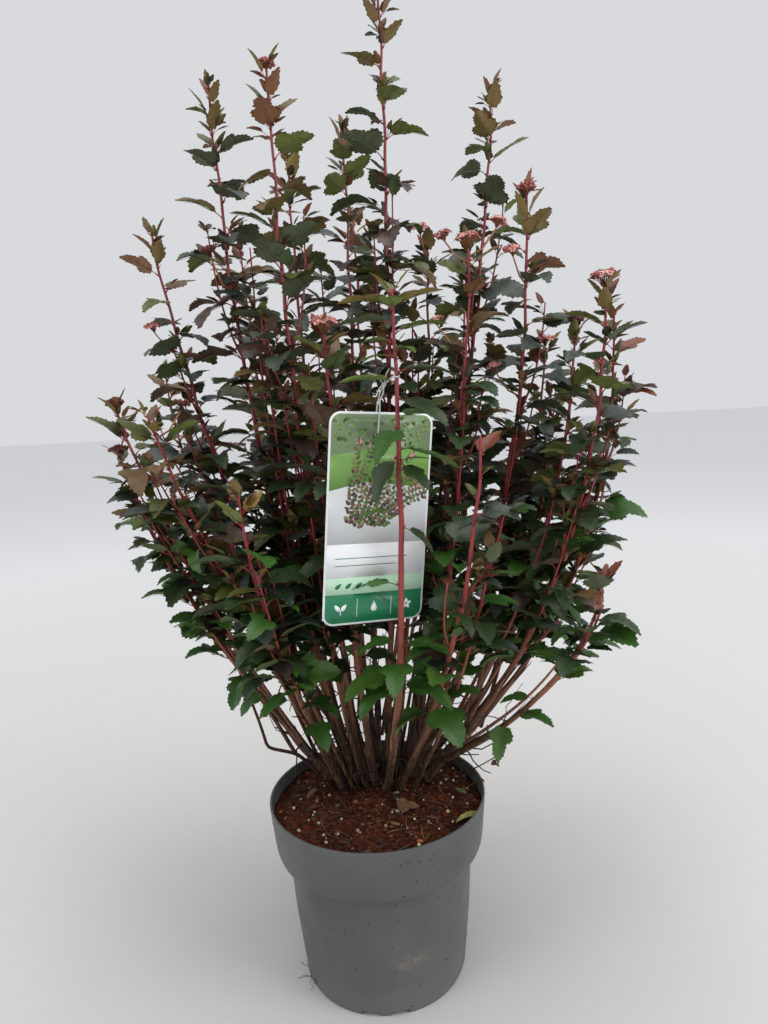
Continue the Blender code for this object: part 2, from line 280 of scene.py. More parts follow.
# %% [markdown]
# ## Gathering many shapes into one piece
# A shrub has thousands of leaves and twigs. As separate objects they would be slow and hard to
# handle, so shapes of one kind are gathered and joined into one mesh. A heap keeps their points and
# faces as arrays, with the number of the finish that each shape wears.

# %% The heap
class Heap:
    """Shapes of one kind, gathered until they are joined into one piece."""

    def __init__(self):
        self.points = []
        self.corners = []
        self.sizes = []
        self.finish = []
        self.chart = []
        self.count = 0
        self.last = (0, 0)

    def add(self, points, faces, finish=0, chart=None):
        """points holds one shape or many, as (shapes, points, 3), and all of them share the faces."""
        points = np.asarray(points, float)
        if points.ndim == 2:
            points = points[None]
        shapes, each = self.last = points.shape[:2]
        flat = np.zeros((each, 2)) if chart is None else np.asarray(chart, float)
        self.points.append(points.reshape(-1, 3))
        self.chart.append(np.broadcast_to(flat, (shapes, each, 2)).reshape(-1, 2))
        self.count += shapes * each
        self.cover(faces, finish)

    def cover(self, faces, finish=0):
        """Puts faces on the shapes that were added last, such as caps with fewer corners."""
        faces = np.asarray(faces)
        shapes, each = self.last
        starts = self.count + each * (np.arange(shapes) - shapes)
        worn = np.broadcast_to(np.asarray(finish).reshape(-1, 1), (shapes, len(faces)))
        self.corners.append((faces[None] + starts[:, None, None]).reshape(-1))
        self.sizes.append(np.full(shapes * len(faces), faces.shape[1]))
        self.finish.append(worn.reshape(-1))

    def triangles(self):
        return int(sum((sizes - 2).sum() for sizes in self.sizes))


pieces_made = {}


def join(name, heap, finishes, stands_for=(), smooth=True):
    """Joins a heap into one piece that rides on the part, and hides the plain solids that it stands for."""
    mesh = bpy.data.meshes.new(name)
    points = np.concatenate(heap.points)
    corners = np.concatenate(heap.corners)
    sizes = np.concatenate(heap.sizes)
    mesh.vertices.add(len(points))
    mesh.vertices.foreach_set("co", points.astype(np.float32).ravel())
    mesh.loops.add(len(corners))
    mesh.loops.foreach_set("vertex_index", corners.astype(np.int32))
    mesh.polygons.add(len(sizes))
    mesh.polygons.foreach_set("loop_start", (np.cumsum(sizes) - sizes).astype(np.int32))
    mesh.polygons.foreach_set("material_index", np.concatenate(heap.finish).astype(np.int32))
    chart = np.concatenate(heap.chart)
    mesh.uv_layers.new(name="chart").uv.foreach_set("vector", chart[corners].astype(np.float32).ravel())
    mesh.update(calc_edges=True)
    if smooth:
        mesh.shade_smooth()
    for finish in finishes:
        mesh.materials.append(finish)
    made = bpy.data.objects.new(name, mesh)
    bpy.context.scene.collection.objects.link(made)
    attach(made, "root")
    if stands_for:
        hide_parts(*stands_for)
    pieces_made[name] = heap.triangles()
    print(f"{name}: {heap.triangles()} triangles")
    return made


# %% [markdown]
# ## Tubes
# Stems, twigs, leaf stalks, flower stalks and string are all tubes that follow a path. One function
# makes any number of them at once. A path bends mostly in one plane, so a direction across that
# plane keeps the rings from twisting.

# %% Tubes
def unit(vectors):
    return vectors / np.maximum(np.linalg.norm(vectors, axis=-1, keepdims=True), 1e-12)


def rings_along(paths, radii, across, sides, flat=1.0):
    """Rings of points round each path, as (paths, steps, sides, 3). flat thins them one way."""
    along = unit(np.gradient(paths, axis=1))
    over = unit(np.cross(np.broadcast_to(across[:, None], along.shape), along))
    side = np.cross(along, over)
    turns = math.tau * np.arange(sides) / sides
    ring = np.cos(turns)[:, None] * side[:, :, None] + flat * np.sin(turns)[:, None] * over[:, :, None]
    return paths[:, :, None] + ring * radii[:, :, None, None]


def tube_faces(steps, sides):
    """Four-cornered faces between neighbouring rings."""
    ring, side = np.meshgrid(np.arange(steps - 1), np.arange(sides), indexing="ij")
    after = (side + 1) % sides
    low = ring * sides
    faces = np.stack((low + side, low + after, low + sides + after, low + sides + side), axis=-1)
    return faces.reshape(-1, 4)


def tube_chart(steps, sides):
    """Where each corner lies on the surface unrolled flat: round the tube, and along it."""
    turn = np.tile(np.arange(sides) / sides, steps)
    rise = np.repeat(np.arange(steps) / (steps - 1), sides)
    return np.stack((turn, rise), axis=-1)


def cap_faces(steps, sides):
    """Three-cornered faces that close both ends of a tube."""
    side = np.arange(1, sides - 1)
    start = np.stack((np.zeros_like(side), side + 1, side), axis=-1)
    last = (steps - 1) * sides
    end = np.stack((np.zeros_like(side), side, side + 1), axis=-1) + last
    return np.concatenate((start, end))


def add_tubes(heap, paths, radii, across, sides=3, finish=0, flat=1.0):
    """Adds closed tubes to a heap. paths is (tubes, steps, 3), radii (tubes, steps)."""
    paths = np.asarray(paths, float)
    rings = rings_along(paths, np.asarray(radii, float), np.asarray(across, float), sides, flat)
    tubes, steps = paths.shape[:2]
    points = rings.reshape(tubes, steps * sides, 3)
    heap.add(points, tube_faces(steps, sides), finish, tube_chart(steps, sides))
    heap.cover(cap_faces(steps, sides), finish)


def add_body(heap, rings, low_middle, high_middle):
    """Adds one body of rings, as (steps, sides, 3). A fan round a middle point closes each end."""
    steps, sides = rings.shape[:2]
    points = np.concatenate((rings.reshape(-1, 3), (low_middle, high_middle)))
    chart = np.concatenate((tube_chart(steps, sides), ((0.5, 0.0), (0.5, 1.0))))
    heap.add(points, tube_faces(steps, sides), 0, chart)
    side = np.arange(sides)
    after = (side + 1) % sides
    last = (steps - 1) * sides
    heap.cover(np.stack((np.full(sides, len(points) - 2), after, side), axis=-1))
    heap.cover(np.stack((np.full(sides, len(points) - 1), side + last, after + last), axis=-1))


# %% [markdown]
# ## The stems and boughs, read from the frame
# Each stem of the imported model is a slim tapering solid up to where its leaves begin, and a mass of
# leaves goes on to the tip. A stem bows outward by one simple rule, so its foot, its top ring and
# its tip give back the whole curve. Reading it from the frame keeps every twig on its own limb.

# %% Reading the limbs
HAIR = 0.0001


def places(node):
    """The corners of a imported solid, each once."""
    mesh = frame["nodes"][node].data
    found = np.empty(len(mesh.vertices) * 3, np.float32)
    mesh.vertices.foreach_get("co", found)
    return np.unique(np.round(found.reshape(-1, 3), 5), axis=0).astype(float)


class Limb:
    """A stem or bough: its foot, how it bows, where its leaves begin, and its tip."""

    def __init__(self, node):
        self.node = node
        self.name = node.split("_", 1)[1]
        self.mass = "leaves_" + self.name
        wood = places(node)
        leaves = places(self.mass)
        heights = wood[:, 2]
        self.foot = wood[heights < heights.min() + HAIR].mean(0)
        top = wood[heights > heights.max() - HAIR]
        self.leafy_from = heights.max()
        self.tip = leaves[leaves[:, 2].argmax()]
        self.radius = np.linalg.norm(top - top.mean(0), axis=1).mean()
        rise = (self.leafy_from - self.foot[2]) / (self.tip[2] - self.foot[2])
        reach = np.linalg.norm((top.mean(0) - self.foot)[:2]) / np.linalg.norm((self.tip - self.foot)[:2])
        self.bow = math.log(1.0 - reach) / math.log(1.0 - rise)
        heart = np.array([self.centre(z) for z in leaves[:, 2]])
        self.spread = np.percentile(np.linalg.norm((leaves - heart)[:, :2], axis=1), 80)
        self.is_stem = node.startswith("stem_")

    def centre(self, height):
        rise = (height - self.foot[2]) / (self.tip[2] - self.foot[2])
        reach = 1.0 - (1.0 - min(max(rise, 0.0), 1.0)) ** self.bow
        place = self.foot + (self.tip - self.foot) * reach
        return np.array((place[0], place[1], height))


limbs = [Limb(node) for node in sorted(frame["nodes"]) if node.startswith(("stem_", "bough_"))]
by_name = {limb.name: limb for limb in limbs}
print(len(limbs), "limbs, the tallest", round(max(limb.tip[2] for limb in limbs), 3), "m")

# %% [markdown]
# ## Shoots
# A stem with its leafy length, a twig and a flower stalk all have the same needs: a path, a
# thickness along it, and a way to ask for the place and direction at some distance. The stems get
# slight bends of a millimetre or so, because a real stem turns a little at every leaf.

# %% Shoots
STEM_STEP = 0.004
TIP_RADIUS = 0.0009
SWAY = 0.00264
SWAY_LENGTH = 0.045
# Each stem looks up its bends this far from the next one's in the noise
SEED_SPACING = 7.31
SEED_ROW = 3.7


class Shoot:
    """Points along the middle of a stem or twig, with its thickness at each."""

    def __init__(self, points, radii):
        self.points = np.asarray(points, float)
        self.radii = np.asarray(radii, float)
        steps = np.linalg.norm(np.diff(self.points, axis=0), axis=1)
        self.far = np.concatenate(((0.0,), np.cumsum(steps)))
        self.length = self.far[-1]

    def place(self, distance):
        return np.array([np.interp(distance, self.far, self.points[:, axis]) for axis in range(3)])

    def way(self, distance):
        reach = self.length * 0.02 + 0.001
        return unit(self.place(distance + reach) - self.place(distance - reach))

    def thickness(self, distance):
        return float(np.interp(distance, self.far, self.radii))

    def at_height(self, height):
        """The distance along the shoot at which it reaches this height."""
        return float(np.interp(height, self.points[:, 2], self.far))


def sway(seed, heights, low, high):
    """Small sideways bends that vanish at both ends."""
    start = seed * SEED_SPACING
    held = np.clip(np.minimum(heights - low, high - heights) / SWAY_LENGTH, 0.0, 1.0)
    turns = [noise.noise_vector(Vector((start, SEED_ROW, z / SWAY_LENGTH))) for z in heights]
    return np.array([(turn.x, turn.y, 0.0) for turn in turns]) * SWAY * held[:, None]


def limb_shoot(limb, number):
    """The whole stem or bough, from its foot to its tip."""
    steps = max(8, int((limb.tip[2] - limb.foot[2]) / STEM_STEP))
    heights = np.linspace(limb.foot[2], limb.tip[2], steps)
    middle = np.array([limb.centre(z) for z in heights])
    at_foot = places(limb.node)
    foot = at_foot[at_foot[:, 2] < limb.foot[2] + HAIR]
    foot_radius = np.linalg.norm(foot - limb.foot, axis=1).mean()
    share = (heights - limb.foot[2]) / (limb.tip[2] - limb.foot[2])
    lower = np.interp(heights, (limb.foot[2], limb.foot[2] + 0.02, limb.leafy_from),
                      (foot_radius, foot_radius * (0.72 if limb.is_stem else 0.97), limb.radius))
    upper = np.interp(share, ((limb.leafy_from - limb.foot[2]) / (limb.tip[2] - limb.foot[2]), 1.0),
                      (limb.radius, TIP_RADIUS))
    radii = np.where(heights < limb.leafy_from, lower, upper)
    return Shoot(middle + sway(number, heights, limb.foot[2], limb.tip[2]), radii)


shoots = {limb.name: limb_shoot(limb, number) for number, limb in enumerate(limbs)}
print("stems and boughs together:", round(sum(s.length for s in shoots.values()), 1), "m")

# %% [markdown]
# ## The flat leaf
# A ninebark leaf has three lobes, the middle one longest, and an edge of coarse teeth with smaller
# ones between. One half is drawn with a dozen points and mirrored. Teeth are set along the edge by
# rule. The blade is quilted: it sinks along the veins and rises between them, so points are placed
# on the veins and between them before Blender's Delaunay function fills the outline with triangles.

# %% The flat leaf
# Half of the blade's outline from the stalk to the tip, in leaf lengths from the midrib
HALF_BLADE = ((0.0, 0.0), (0.10, -0.03), (0.24, -0.01), (0.38, 0.08), (0.48, 0.21), (0.50, 0.34),
              (0.36, 0.41), (0.25, 0.47), (0.27, 0.59), (0.235, 0.73), (0.14, 0.87), (0.0, 1.0))
# Young leaves are narrower, with hardly any side lobes
HALF_YOUNG = ((0.0, 0.0), (0.12, 0.03), (0.24, 0.15), (0.31, 0.30), (0.27, 0.44), (0.225, 0.60),
              (0.13, 0.82), (0.0, 1.0))
# Each vein: where it leaves the midrib, and where along the edge it ends
BLADE_VEINS = ((0.04, 0.21), (0.04, 0.40), (0.20, 0.60), (0.40, 0.74), (0.61, 0.87))
YOUNG_VEINS = ((0.08, 0.34), (0.36, 0.66))
VEIN_SINK = 0.016
QUILT_RISE = 0.022


def within(outline, spots):
    """True for each spot inside a closed outline: it has an odd number of edges on its right."""
    x0, y0 = np.array(outline).T
    x1, y1 = np.roll(outline, -1, axis=0).T
    x, y = spots[:, 0, None], spots[:, 1, None]
    level = (y0 > y) != (y1 > y)
    reach = x0 + (y - y0) * (x1 - x0) / np.where(y1 == y0, 1.0, y1 - y0)
    return (level & (x < reach)).sum(1) % 2 == 1


class Blade:
    """One flat leaf, one unit long: its points as (across, along, rise), and its triangles."""

    def __init__(self, half, teeth, depth, veins):
        edge = toothed(half, teeth, depth)
        count = len(edge)
        spine = sorted({start for start, _ in veins} | {0.82})
        points = [(0.0, 0.0, 0.0), (0.0, 1.0, 0.0)]
        points += [(0.0, along, -VEIN_SINK / 2) for along in spine]
        links = []
        chain = [0, *range(2, 2 + len(spine)), 1]
        links += list(zip(chain, chain[1:]))
        self.ribs = [((0.0, 0.0), (0.0, 1.0))]
        for side in (1.0, -1.0):
            first = len(points)
            points += [(side * x, y, 0.0) for x, y in edge[1:-1]]
            rim = [0, *range(first, first + count - 2), 1]
            links += list(zip(rim, rim[1:]))
            middles = []
            for start, share in veins:
                end = rim[round(share * (count - 1))]
                x, y, _ = points[end]
                middles.append((x * 0.52, start + (y - start) * 0.52))
                points.append((*middles[-1], -VEIN_SINK))
                root = 2 + spine.index(start)
                links += [(root, len(points) - 1), (len(points) - 1, end)]
                self.ribs.append(((0.0, start), (x * 0.9, start + (y - start) * 0.9)))
            for one, two in zip(middles, middles[1:]):
                points.append(((one[0] + two[0]) * 0.56, (one[1] + two[1]) * 0.5, QUILT_RISE))
        flat = [Vector(point[:2]) for point in points]
        found = geometry.delaunay_2d_cdt(flat, links, [], 1, 1e-6, True)
        rises = [points[origin[0]][2] for origin in found[3]]
        self.points = np.array([(v.x, v.y, rise) for v, rise in zip(found[0], rises)])
        faces = np.array(found[2])
        outline = np.concatenate((edge, edge[-2:0:-1] * (-1.0, 1.0)))
        faces = faces[within(outline, self.points[faces, :2].mean(1))]
        a, b, c = (self.points[faces[:, corner], :2] for corner in range(3))
        turned = (b - a)[:, 0] * (c - a)[:, 1] - (b - a)[:, 1] * (c - a)[:, 0] < 0
        faces[turned] = faces[turned][:, ::-1]
        self.faces = faces
        on_edge = np.zeros(len(self.points), bool)
        sides = np.sort(np.concatenate((faces[:, :2], faces[:, 1:], faces[:, ::2])), axis=1)
        pairs, counts = np.unique(sides, axis=0, return_counts=True)
        on_edge[pairs[counts == 1].ravel()] = True
        self.inside = ~on_edge


def toothed(half, teeth, depth):
    """The half outline with saw teeth that point to the tip, every second one smaller."""
    half = np.array(half)
    far = np.concatenate(((0.0,), np.cumsum(np.linalg.norm(np.diff(half, axis=0), axis=1))))
    count = teeth * 2
    shares = np.arange(count + 1) / count
    tips = np.arange(count + 1) % 2 == 1
    shares[tips] += 0.3 / count
    edge = np.stack([np.interp(shares * far[-1], far, half[:, axis]) for axis in range(2)], axis=1)
    along = unit(np.gradient(edge, axis=0))
    outward = np.stack((along[:, 1], -along[:, 0]), axis=1)
    size = np.where(np.arange(count + 1) % 4 == 1, depth, depth * 0.55)
    edge[tips] += outward[tips] * size[tips, None]
    edge[0] = (0.0, 0.0)
    edge[-1] = (0.0, 1.0)
    return edge


BLADES = {
    "full": Blade(HALF_BLADE, 13, 0.056, BLADE_VEINS),
    "young": Blade(HALF_YOUNG, 6, 0.060, YOUNG_VEINS),
    "bud": Blade(HALF_YOUNG, 3, 0.05, ()),
}
for name, blade in BLADES.items():
    print(f"{name} leaf: {len(blade.points)} points, {len(blade.faces)} triangles a side")

# %% [markdown]
# ## Leaf tints
# The leaves are dark slate green and purple on top, greener low down, and copper at the tips of the
# shoots. Their undersides are paler, with raised veins. A tint belongs to a whole leaf, so each tint
# is a plain colour of its own, dealt out leaf by leaf. The satin gloss and the fine grain of the
# surface come from nodes.

# %% Leaf tints
# Each tint: its slot in the record, its colour on top, and its colour underneath
TINTS = {
    "slate": ("leaves_dark", (0.034, 0.046, 0.034), (0.085, 0.105, 0.055)),
    "deep": ("leaves_dark", (0.022, 0.044, 0.014), (0.070, 0.105, 0.032)),
    "purple": ("leaves_dark", (0.048, 0.028, 0.022), (0.125, 0.075, 0.048)),
    "olive": ("leaves_dark", (0.072, 0.080, 0.016), (0.135, 0.160, 0.036)),
    "bronze": ("leaves_copper", (0.115, 0.064, 0.018), (0.180, 0.125, 0.040)),
    "copper": ("leaves_copper", (0.155, 0.046, 0.022), (0.215, 0.095, 0.048)),
    "gold": ("leaves_copper", (0.200, 0.120, 0.022), (0.230, 0.170, 0.045)),
    "fresh": ("leaves_fresh", (0.034, 0.098, 0.014), (0.070, 0.140, 0.035)),
    "leafgreen": ("leaves_fresh", (0.055, 0.125, 0.018), (0.090, 0.165, 0.040)),
    "lime": ("leaves_fresh", (0.110, 0.170, 0.022), (0.150, 0.220, 0.050)),
}
TINT_NAMES = list(TINTS)


def leaf_finish(name, colour, roughness, relief):
    """A satin leaf surface. Its colour and gloss are plain, and its grain varies."""
    finish = Finish(name, colour, roughness)
    finish.shader.inputs["Specular IOR Level"].default_value = 0.45
    finish.bump(finish.noise(26.0, 4.0, source="UV"), relief, 0.5)
    return finish.material


# Veins are the underside's colour, turned about a third of the way to straw
STRAW = (0.25, 0.20, 0.10)
STRAW_SHARE = 0.35
LEAF_FINISHES = {}
for tint, (slot, top, under) in TINTS.items():
    vein = tuple(STRAW_SHARE * straw + (1.0 - STRAW_SHARE) * own for straw, own in zip(STRAW, under))
    LEAF_FINISHES[tint] = (
        leaf_finish(tint + " leaf", top, 0.42, 0.0006),
        leaf_finish(tint + " leaf underside", under, 0.62, 0.0008),
        leaf_finish(tint + " leaf vein", vein, 0.6, 0.0002),
    )
print(len(LEAF_FINISHES), "tints, each with a top, an underside and veins")

# %% [markdown]
# ## Ordering leaves
# While the shoots grow, each leaf is only noted down: where its stalk leaves the bark, which way
# the blade points, its length and its tint. They are all bent into shape together afterwards. A
# leaf that would reach too far outside the plain model's box is made smaller or left out.

# %% Ordering leaves
leaf_orders = []
# How far a leaf may pass the plain model's box: a share of its size, and a few millimetres more
BOX_GROWTH = 0.03
BOX_EXTRA = 0.007
box_low, box_high = np.array(cad_box[0]), np.array(cad_box[1])
low_limit = box_low - (box_high - box_low) * BOX_GROWTH - BOX_EXTRA
high_limit = box_high + (box_high - box_low) * BOX_GROWTH + BOX_EXTRA
low_limit[2] = 0.0
# The label hangs turned to the right, leaning back a little and tipped to one side
CARD_TURN = math.radians(25.0)
CARD_LEAN = math.radians(3.0)
CARD_TIP = math.radians(5.0)
card_turn = Matrix.Rotation(CARD_TURN, 3, "Z") @ Matrix.Rotation(CARD_LEAN, 3, "X")
card_turn = np.array(card_turn @ Matrix.Rotation(CARD_TIP, 3, "Y"))
card_right, card_out, card_up = card_turn[:, 0], -card_turn[:, 1], card_turn[:, 2]
card_axes = np.stack((card_right, card_up, card_out), axis=1)
card_spots = places("label") @ card_axes
card_centre = card_axes @ (card_spots.max(0) + card_spots.min(0)) / 2
card_half = (card_spots.max(0) - card_spots.min(0)) / 2
print("label half size in mm", np.round(card_half / MM, 1))


def in_box(point):
    return bool(np.all(point > low_limit) and np.all(point < high_limit))


def hides_label(point):
    """True where a leaf would hang in front of the label, or cut through it."""
    across, rise, ahead = (point - card_centre) @ card_axes
    beside_card = max(abs(across) - card_half[0], abs(rise) - card_half[1])
    return ahead > -0.006 and beside_card < 0.003 + 0.08 * max(ahead, 0.0)


def order_leaf(start, stalk_way, ahead, up, length, stalk, design, tint, bend, side, checked=True):
    """Notes down one leaf, if there is room for it."""
    base = start + unit(stalk_way + ahead) * stalk
    for _ in range(3):
        tip = base + unit(ahead - up * bend * 0.45) * length
        if in_box(tip) and in_box(base):
            break
        length *= 0.75
    else:
        return
    middle = (base + tip) / 2
    if checked and (hides_label(tip) or hides_label(middle) or hides_label(base)):
        return
    number = TINT_NAMES.index(tint)
    leaf_orders.append((start, stalk_way, ahead, up, length, stalk, design, number, bend, side))


# %% [markdown]
# ## How a shoot carries its leaves
# Leaves stand singly and turn round the shoot by a fixed angle, the way most plants do it. Each has
# a red stalk that rises, and a blade that arches over and hangs at its tip. In the angle above it
# sits a tuft of small copper leaves. Towards the shoot's end the leaves get smaller and stand up.

# %% Leaves on a shoot
SPIRAL = math.radians(137.5)
FULL_LENGTH = 0.040
NODE_STEP = 0.0140
TUFT_LEAF = 0.017
# The tints change at these heights, and at these shares of a shoot's leafy length
FRESH_BELOW = 0.34
MIXED_BELOW = 0.46
YOUNG_SHARE = 0.78
TIP_SHARE = 0.93
# From this share on, the leaves of a shoot crowd together, stand up and bend less
CROWN_SHARE = 0.86


def heading(azimuth, elevation):
    flat = math.cos(elevation)
    return np.array((math.cos(azimuth) * flat, math.sin(azimuth) * flat, math.sin(elevation)))


def pick(dice, chances):
    """One of several names, by their weights."""
    return dice.choices(list(chances), weights=list(chances.values()))[0]


def tint_of(dice, height, share, warm):
    """Greener low down, slate and purple higher up, bronze and copper near the tips."""
    if share > TIP_SHARE:
        return pick(dice, {"copper": 4, "bronze": 4, "gold": 1 + warm, "olive": 1})
    if share > YOUNG_SHARE:
        return pick(dice, {"olive": 4, "bronze": 3 + warm, "slate": 2, "copper": 1, "deep": 1})
    if height < FRESH_BELOW:
        return pick(dice, {"fresh": 6, "leafgreen": 3, "deep": 3, "lime": 0.3})
    if height < MIXED_BELOW:
        return pick(dice, {"deep": 6, "fresh": 3.5, "slate": 2, "purple": 1, "leafgreen": 0.8})
    return pick(dice, {"slate": 5, "deep": 4, "purple": 2.5, "olive": 1.5 + warm, "bronze": 0.5 + warm})


def small_tint(dice, height, share, warm):
    """Tufts of young leaves are warmer than the leaves that they sit above."""
    if height < 0.38:
        return pick(dice, {"fresh": 4, "leafgreen": 3, "deep": 2, "bronze": 1})
    return pick(dice, {"bronze": 4, "copper": 3 + warm, "purple": 3, "olive": 3, "slate": 2, "deep": 1})


def frame_of(azimuth, elevation, roll):
    """The way a blade points and the way its upper side faces."""
    ahead = heading(azimuth, elevation)
    up = heading(azimuth, elevation + math.pi / 2)
    side = np.cross(ahead, up)
    return ahead, up * math.cos(roll) + side * math.sin(roll)


# %% [markdown]
# Going up a shoot, one function gives a leaf its size, another its tuft, and a third sets leaf after
# leaf. It draws every chance from dice that belong to that shoot, so a change to one shoot leaves
# the others as they are.

# %% Dressing a shoot
def size_along(share):
    """Leaf size along a shoot, from its foot to its tip."""
    return float(np.interp(share, (0.0, 0.25, 0.65, 0.85, 0.95, 1.0), (0.80, 1.0, 1.0, 0.80, 0.55, 0.32)))


def add_tuft(dice, start, azimuth, height, share, warm, side, count, size):
    """Small leaves in the angle of a leaf."""
    for _ in range(count):
        turn = azimuth + dice.uniform(-1.3, 1.3)
        ahead, up = frame_of(turn, dice.uniform(0.35, 1.25), dice.uniform(-0.4, 0.4))
        stalk_way = unit(ahead + UP * 0.6)
        length = size * dice.uniform(0.55, 1.1)
        design = "young" if length > 0.016 else "bud"
        order_leaf(start, stalk_way, ahead, up, length, dice.uniform(0.15, 0.75) * size, design,
                   small_tint(dice, height, share, warm), dice.uniform(0.2, 0.9), side)


def dress(shoot, dice, start, side, full=FULL_LENGTH, step=NODE_STEP, tufts=0.75, warm=0.0, nodes=None):
    """Sets leaves along a shoot from a distance on, and notes each node in nodes."""
    azimuth = dice.uniform(0.0, math.tau)
    far = start + dice.uniform(0.0, step)
    while far < shoot.length:
        share = (far - start) / max(shoot.length - start, 1e-6)
        size = size_along(share)
        place = shoot.place(far)
        along = shoot.way(far)
        out = heading(azimuth + dice.uniform(-0.3, 0.3), 0.0)
        out = unit(out - along * out.dot(along))
        bark = place + out * shoot.thickness(far) * 0.8
        turn = math.atan2(out[1], out[0]) + dice.uniform(-0.35, 0.35)
        rise = dice.gauss(0.40, 0.25) + max(0.0, share - CROWN_SHARE) / (1.0 - CROWN_SHARE)
        ahead, up = frame_of(turn, min(rise, 1.4), dice.gauss(0.0, 0.28))
        length = full * size * dice.uniform(0.82, 1.12)
        design = "full" if length > 0.024 else "young"
        bend = dice.uniform(0.6, 1.4) * (1.0 if share < CROWN_SHARE else 0.5)
        tint = tint_of(dice, place[2], share, warm)
        order_leaf(bark, unit(along * 1.1 + out), ahead, up, length, length * dice.uniform(0.22, 0.34),
                   design, tint, bend, side)
        if nodes is not None:
            nodes.append((place, along, out, shoot.thickness(far), share))
        if dice.random() < tufts:
            count = dice.choice((2, 3, 3, 4))
            add_tuft(dice, bark, turn, place[2], share, warm, side, count, TUFT_LEAF * size ** 0.5)
        azimuth += SPIRAL
        far += step * dice.uniform(0.75, 1.25) * (1.0 if share < 0.88 else 0.55)


# %% [markdown]
# ## Twigs and basal shoots
# Inside each mass the stem branches. A twig leaves the stem at a leaf, swings out and then climbs
# beside it, so it is made from the stem's own curve with an offset that grows and settles. Basal
# shoots do the same from the foot of a stem: they thicken the bare lower part of the clump.

# %% Growing the crown
TWIG_CHANCE = 0.30
TWIG_LENGTH = (0.045, 0.125)
TWIG_RADIUS = 0.0011
BASAL_EACH = 2

wood_nodes = []
twigs = []
basal_shoots = []


def side_of(limb):
    """Which joined piece a limb's leaves belong to."""
    if limb.tip[1] > 0.12:
        return "back"
    return "left" if limb.tip[0] < 0.0 else "right"


def beside(limb, low, high, offset_low, offset_high, radius, tip_radius):
    """A shoot that keeps company with a limb between two heights, at a changing offset."""
    heights = np.linspace(low, high, max(5, int((high - low) / 0.008)))
    share = (heights - low) / (high - low)
    swing = 1.0 - np.exp(-share * 3.0)
    swing /= swing[-1]
    middle = np.array([limb.centre(z) for z in heights])
    offset = offset_low + (offset_high - offset_low) * swing[:, None]
    return Shoot(middle + offset, np.interp(share, (0.0, 1.0), (radius, tip_radius)))


def warmth(limb):
    """How much a limb leans to bronze and copper: most on the copper ones, a little on tall ones."""
    return 3.0 if "copper" in limb.name else (1.0 if limb.tip[2] > 0.75 else 0.0)


def grow(limb):
    """Dresses one limb: leaves along it, twigs within its mass, and a basal shoot beside it."""
    dice = random.Random(limb.name)
    shoot = shoots[limb.name]
    side = side_of(limb)
    start = shoot.at_height(limb.leafy_from)
    nodes = []
    dress(shoot, dice, start, side, warm=warmth(limb), nodes=nodes)
    wood_nodes.extend(nodes)
    for place, along, out, radius, share in nodes:
        if share > 0.62 or dice.random() > TWIG_CHANCE:
            continue
        length = min(dice.uniform(*TWIG_LENGTH), (limb.tip[2] - place[2]) * 0.6)
        reach = out * limb.spread * dice.uniform(0.35, 0.65)
        reach[2] = 0.0
        twig = beside(limb, place[2], place[2] + length, np.zeros(3), reach, TWIG_RADIUS, 0.0006)
        twigs.append(twig)
        dress(twig, dice, 0.012, side, full=FULL_LENGTH * 0.72, step=0.0125, tufts=0.45, warm=warmth(limb))
    for _ in range(BASAL_EACH):
        turn = dice.uniform(0.0, math.tau)
        low = heading(turn, 0.0) * dice.uniform(0.006, 0.016)
        high = heading(turn + dice.uniform(-0.8, 0.8), 0.0) * limb.spread * dice.uniform(0.35, 0.7)
        height = limb.leafy_from + (limb.tip[2] - limb.leafy_from) * dice.uniform(0.3, 0.85)
        basal = beside(limb, limb.foot[2], height, low, high, 0.0022, 0.0007)
        if any(hides_label(point) for point in basal.points):
            continue
        basal_shoots.append(basal)
        dress(basal, dice, basal.at_height(limb.leafy_from + 0.02), side, full=FULL_LENGTH * 0.85,
              step=0.019, tufts=0.4, nodes=wood_nodes)


for limb in limbs:
    if limb.name != "front_centre":
        grow(limb)
print(len(leaf_orders), "leaves,", len(twigs), "twigs,", len(basal_shoots), "basal shoots so far")

# %% [markdown]
# ## The front stem and other leaves with a place of their own
# The stem in front of the label stays nearly bare, with a few leaves that lie over the card and a
# gold rosette on top. Some large fresh leaves also hang in the bare zone near the pot. These have
# set places, so each is noted by its limb, its height and the way it points.

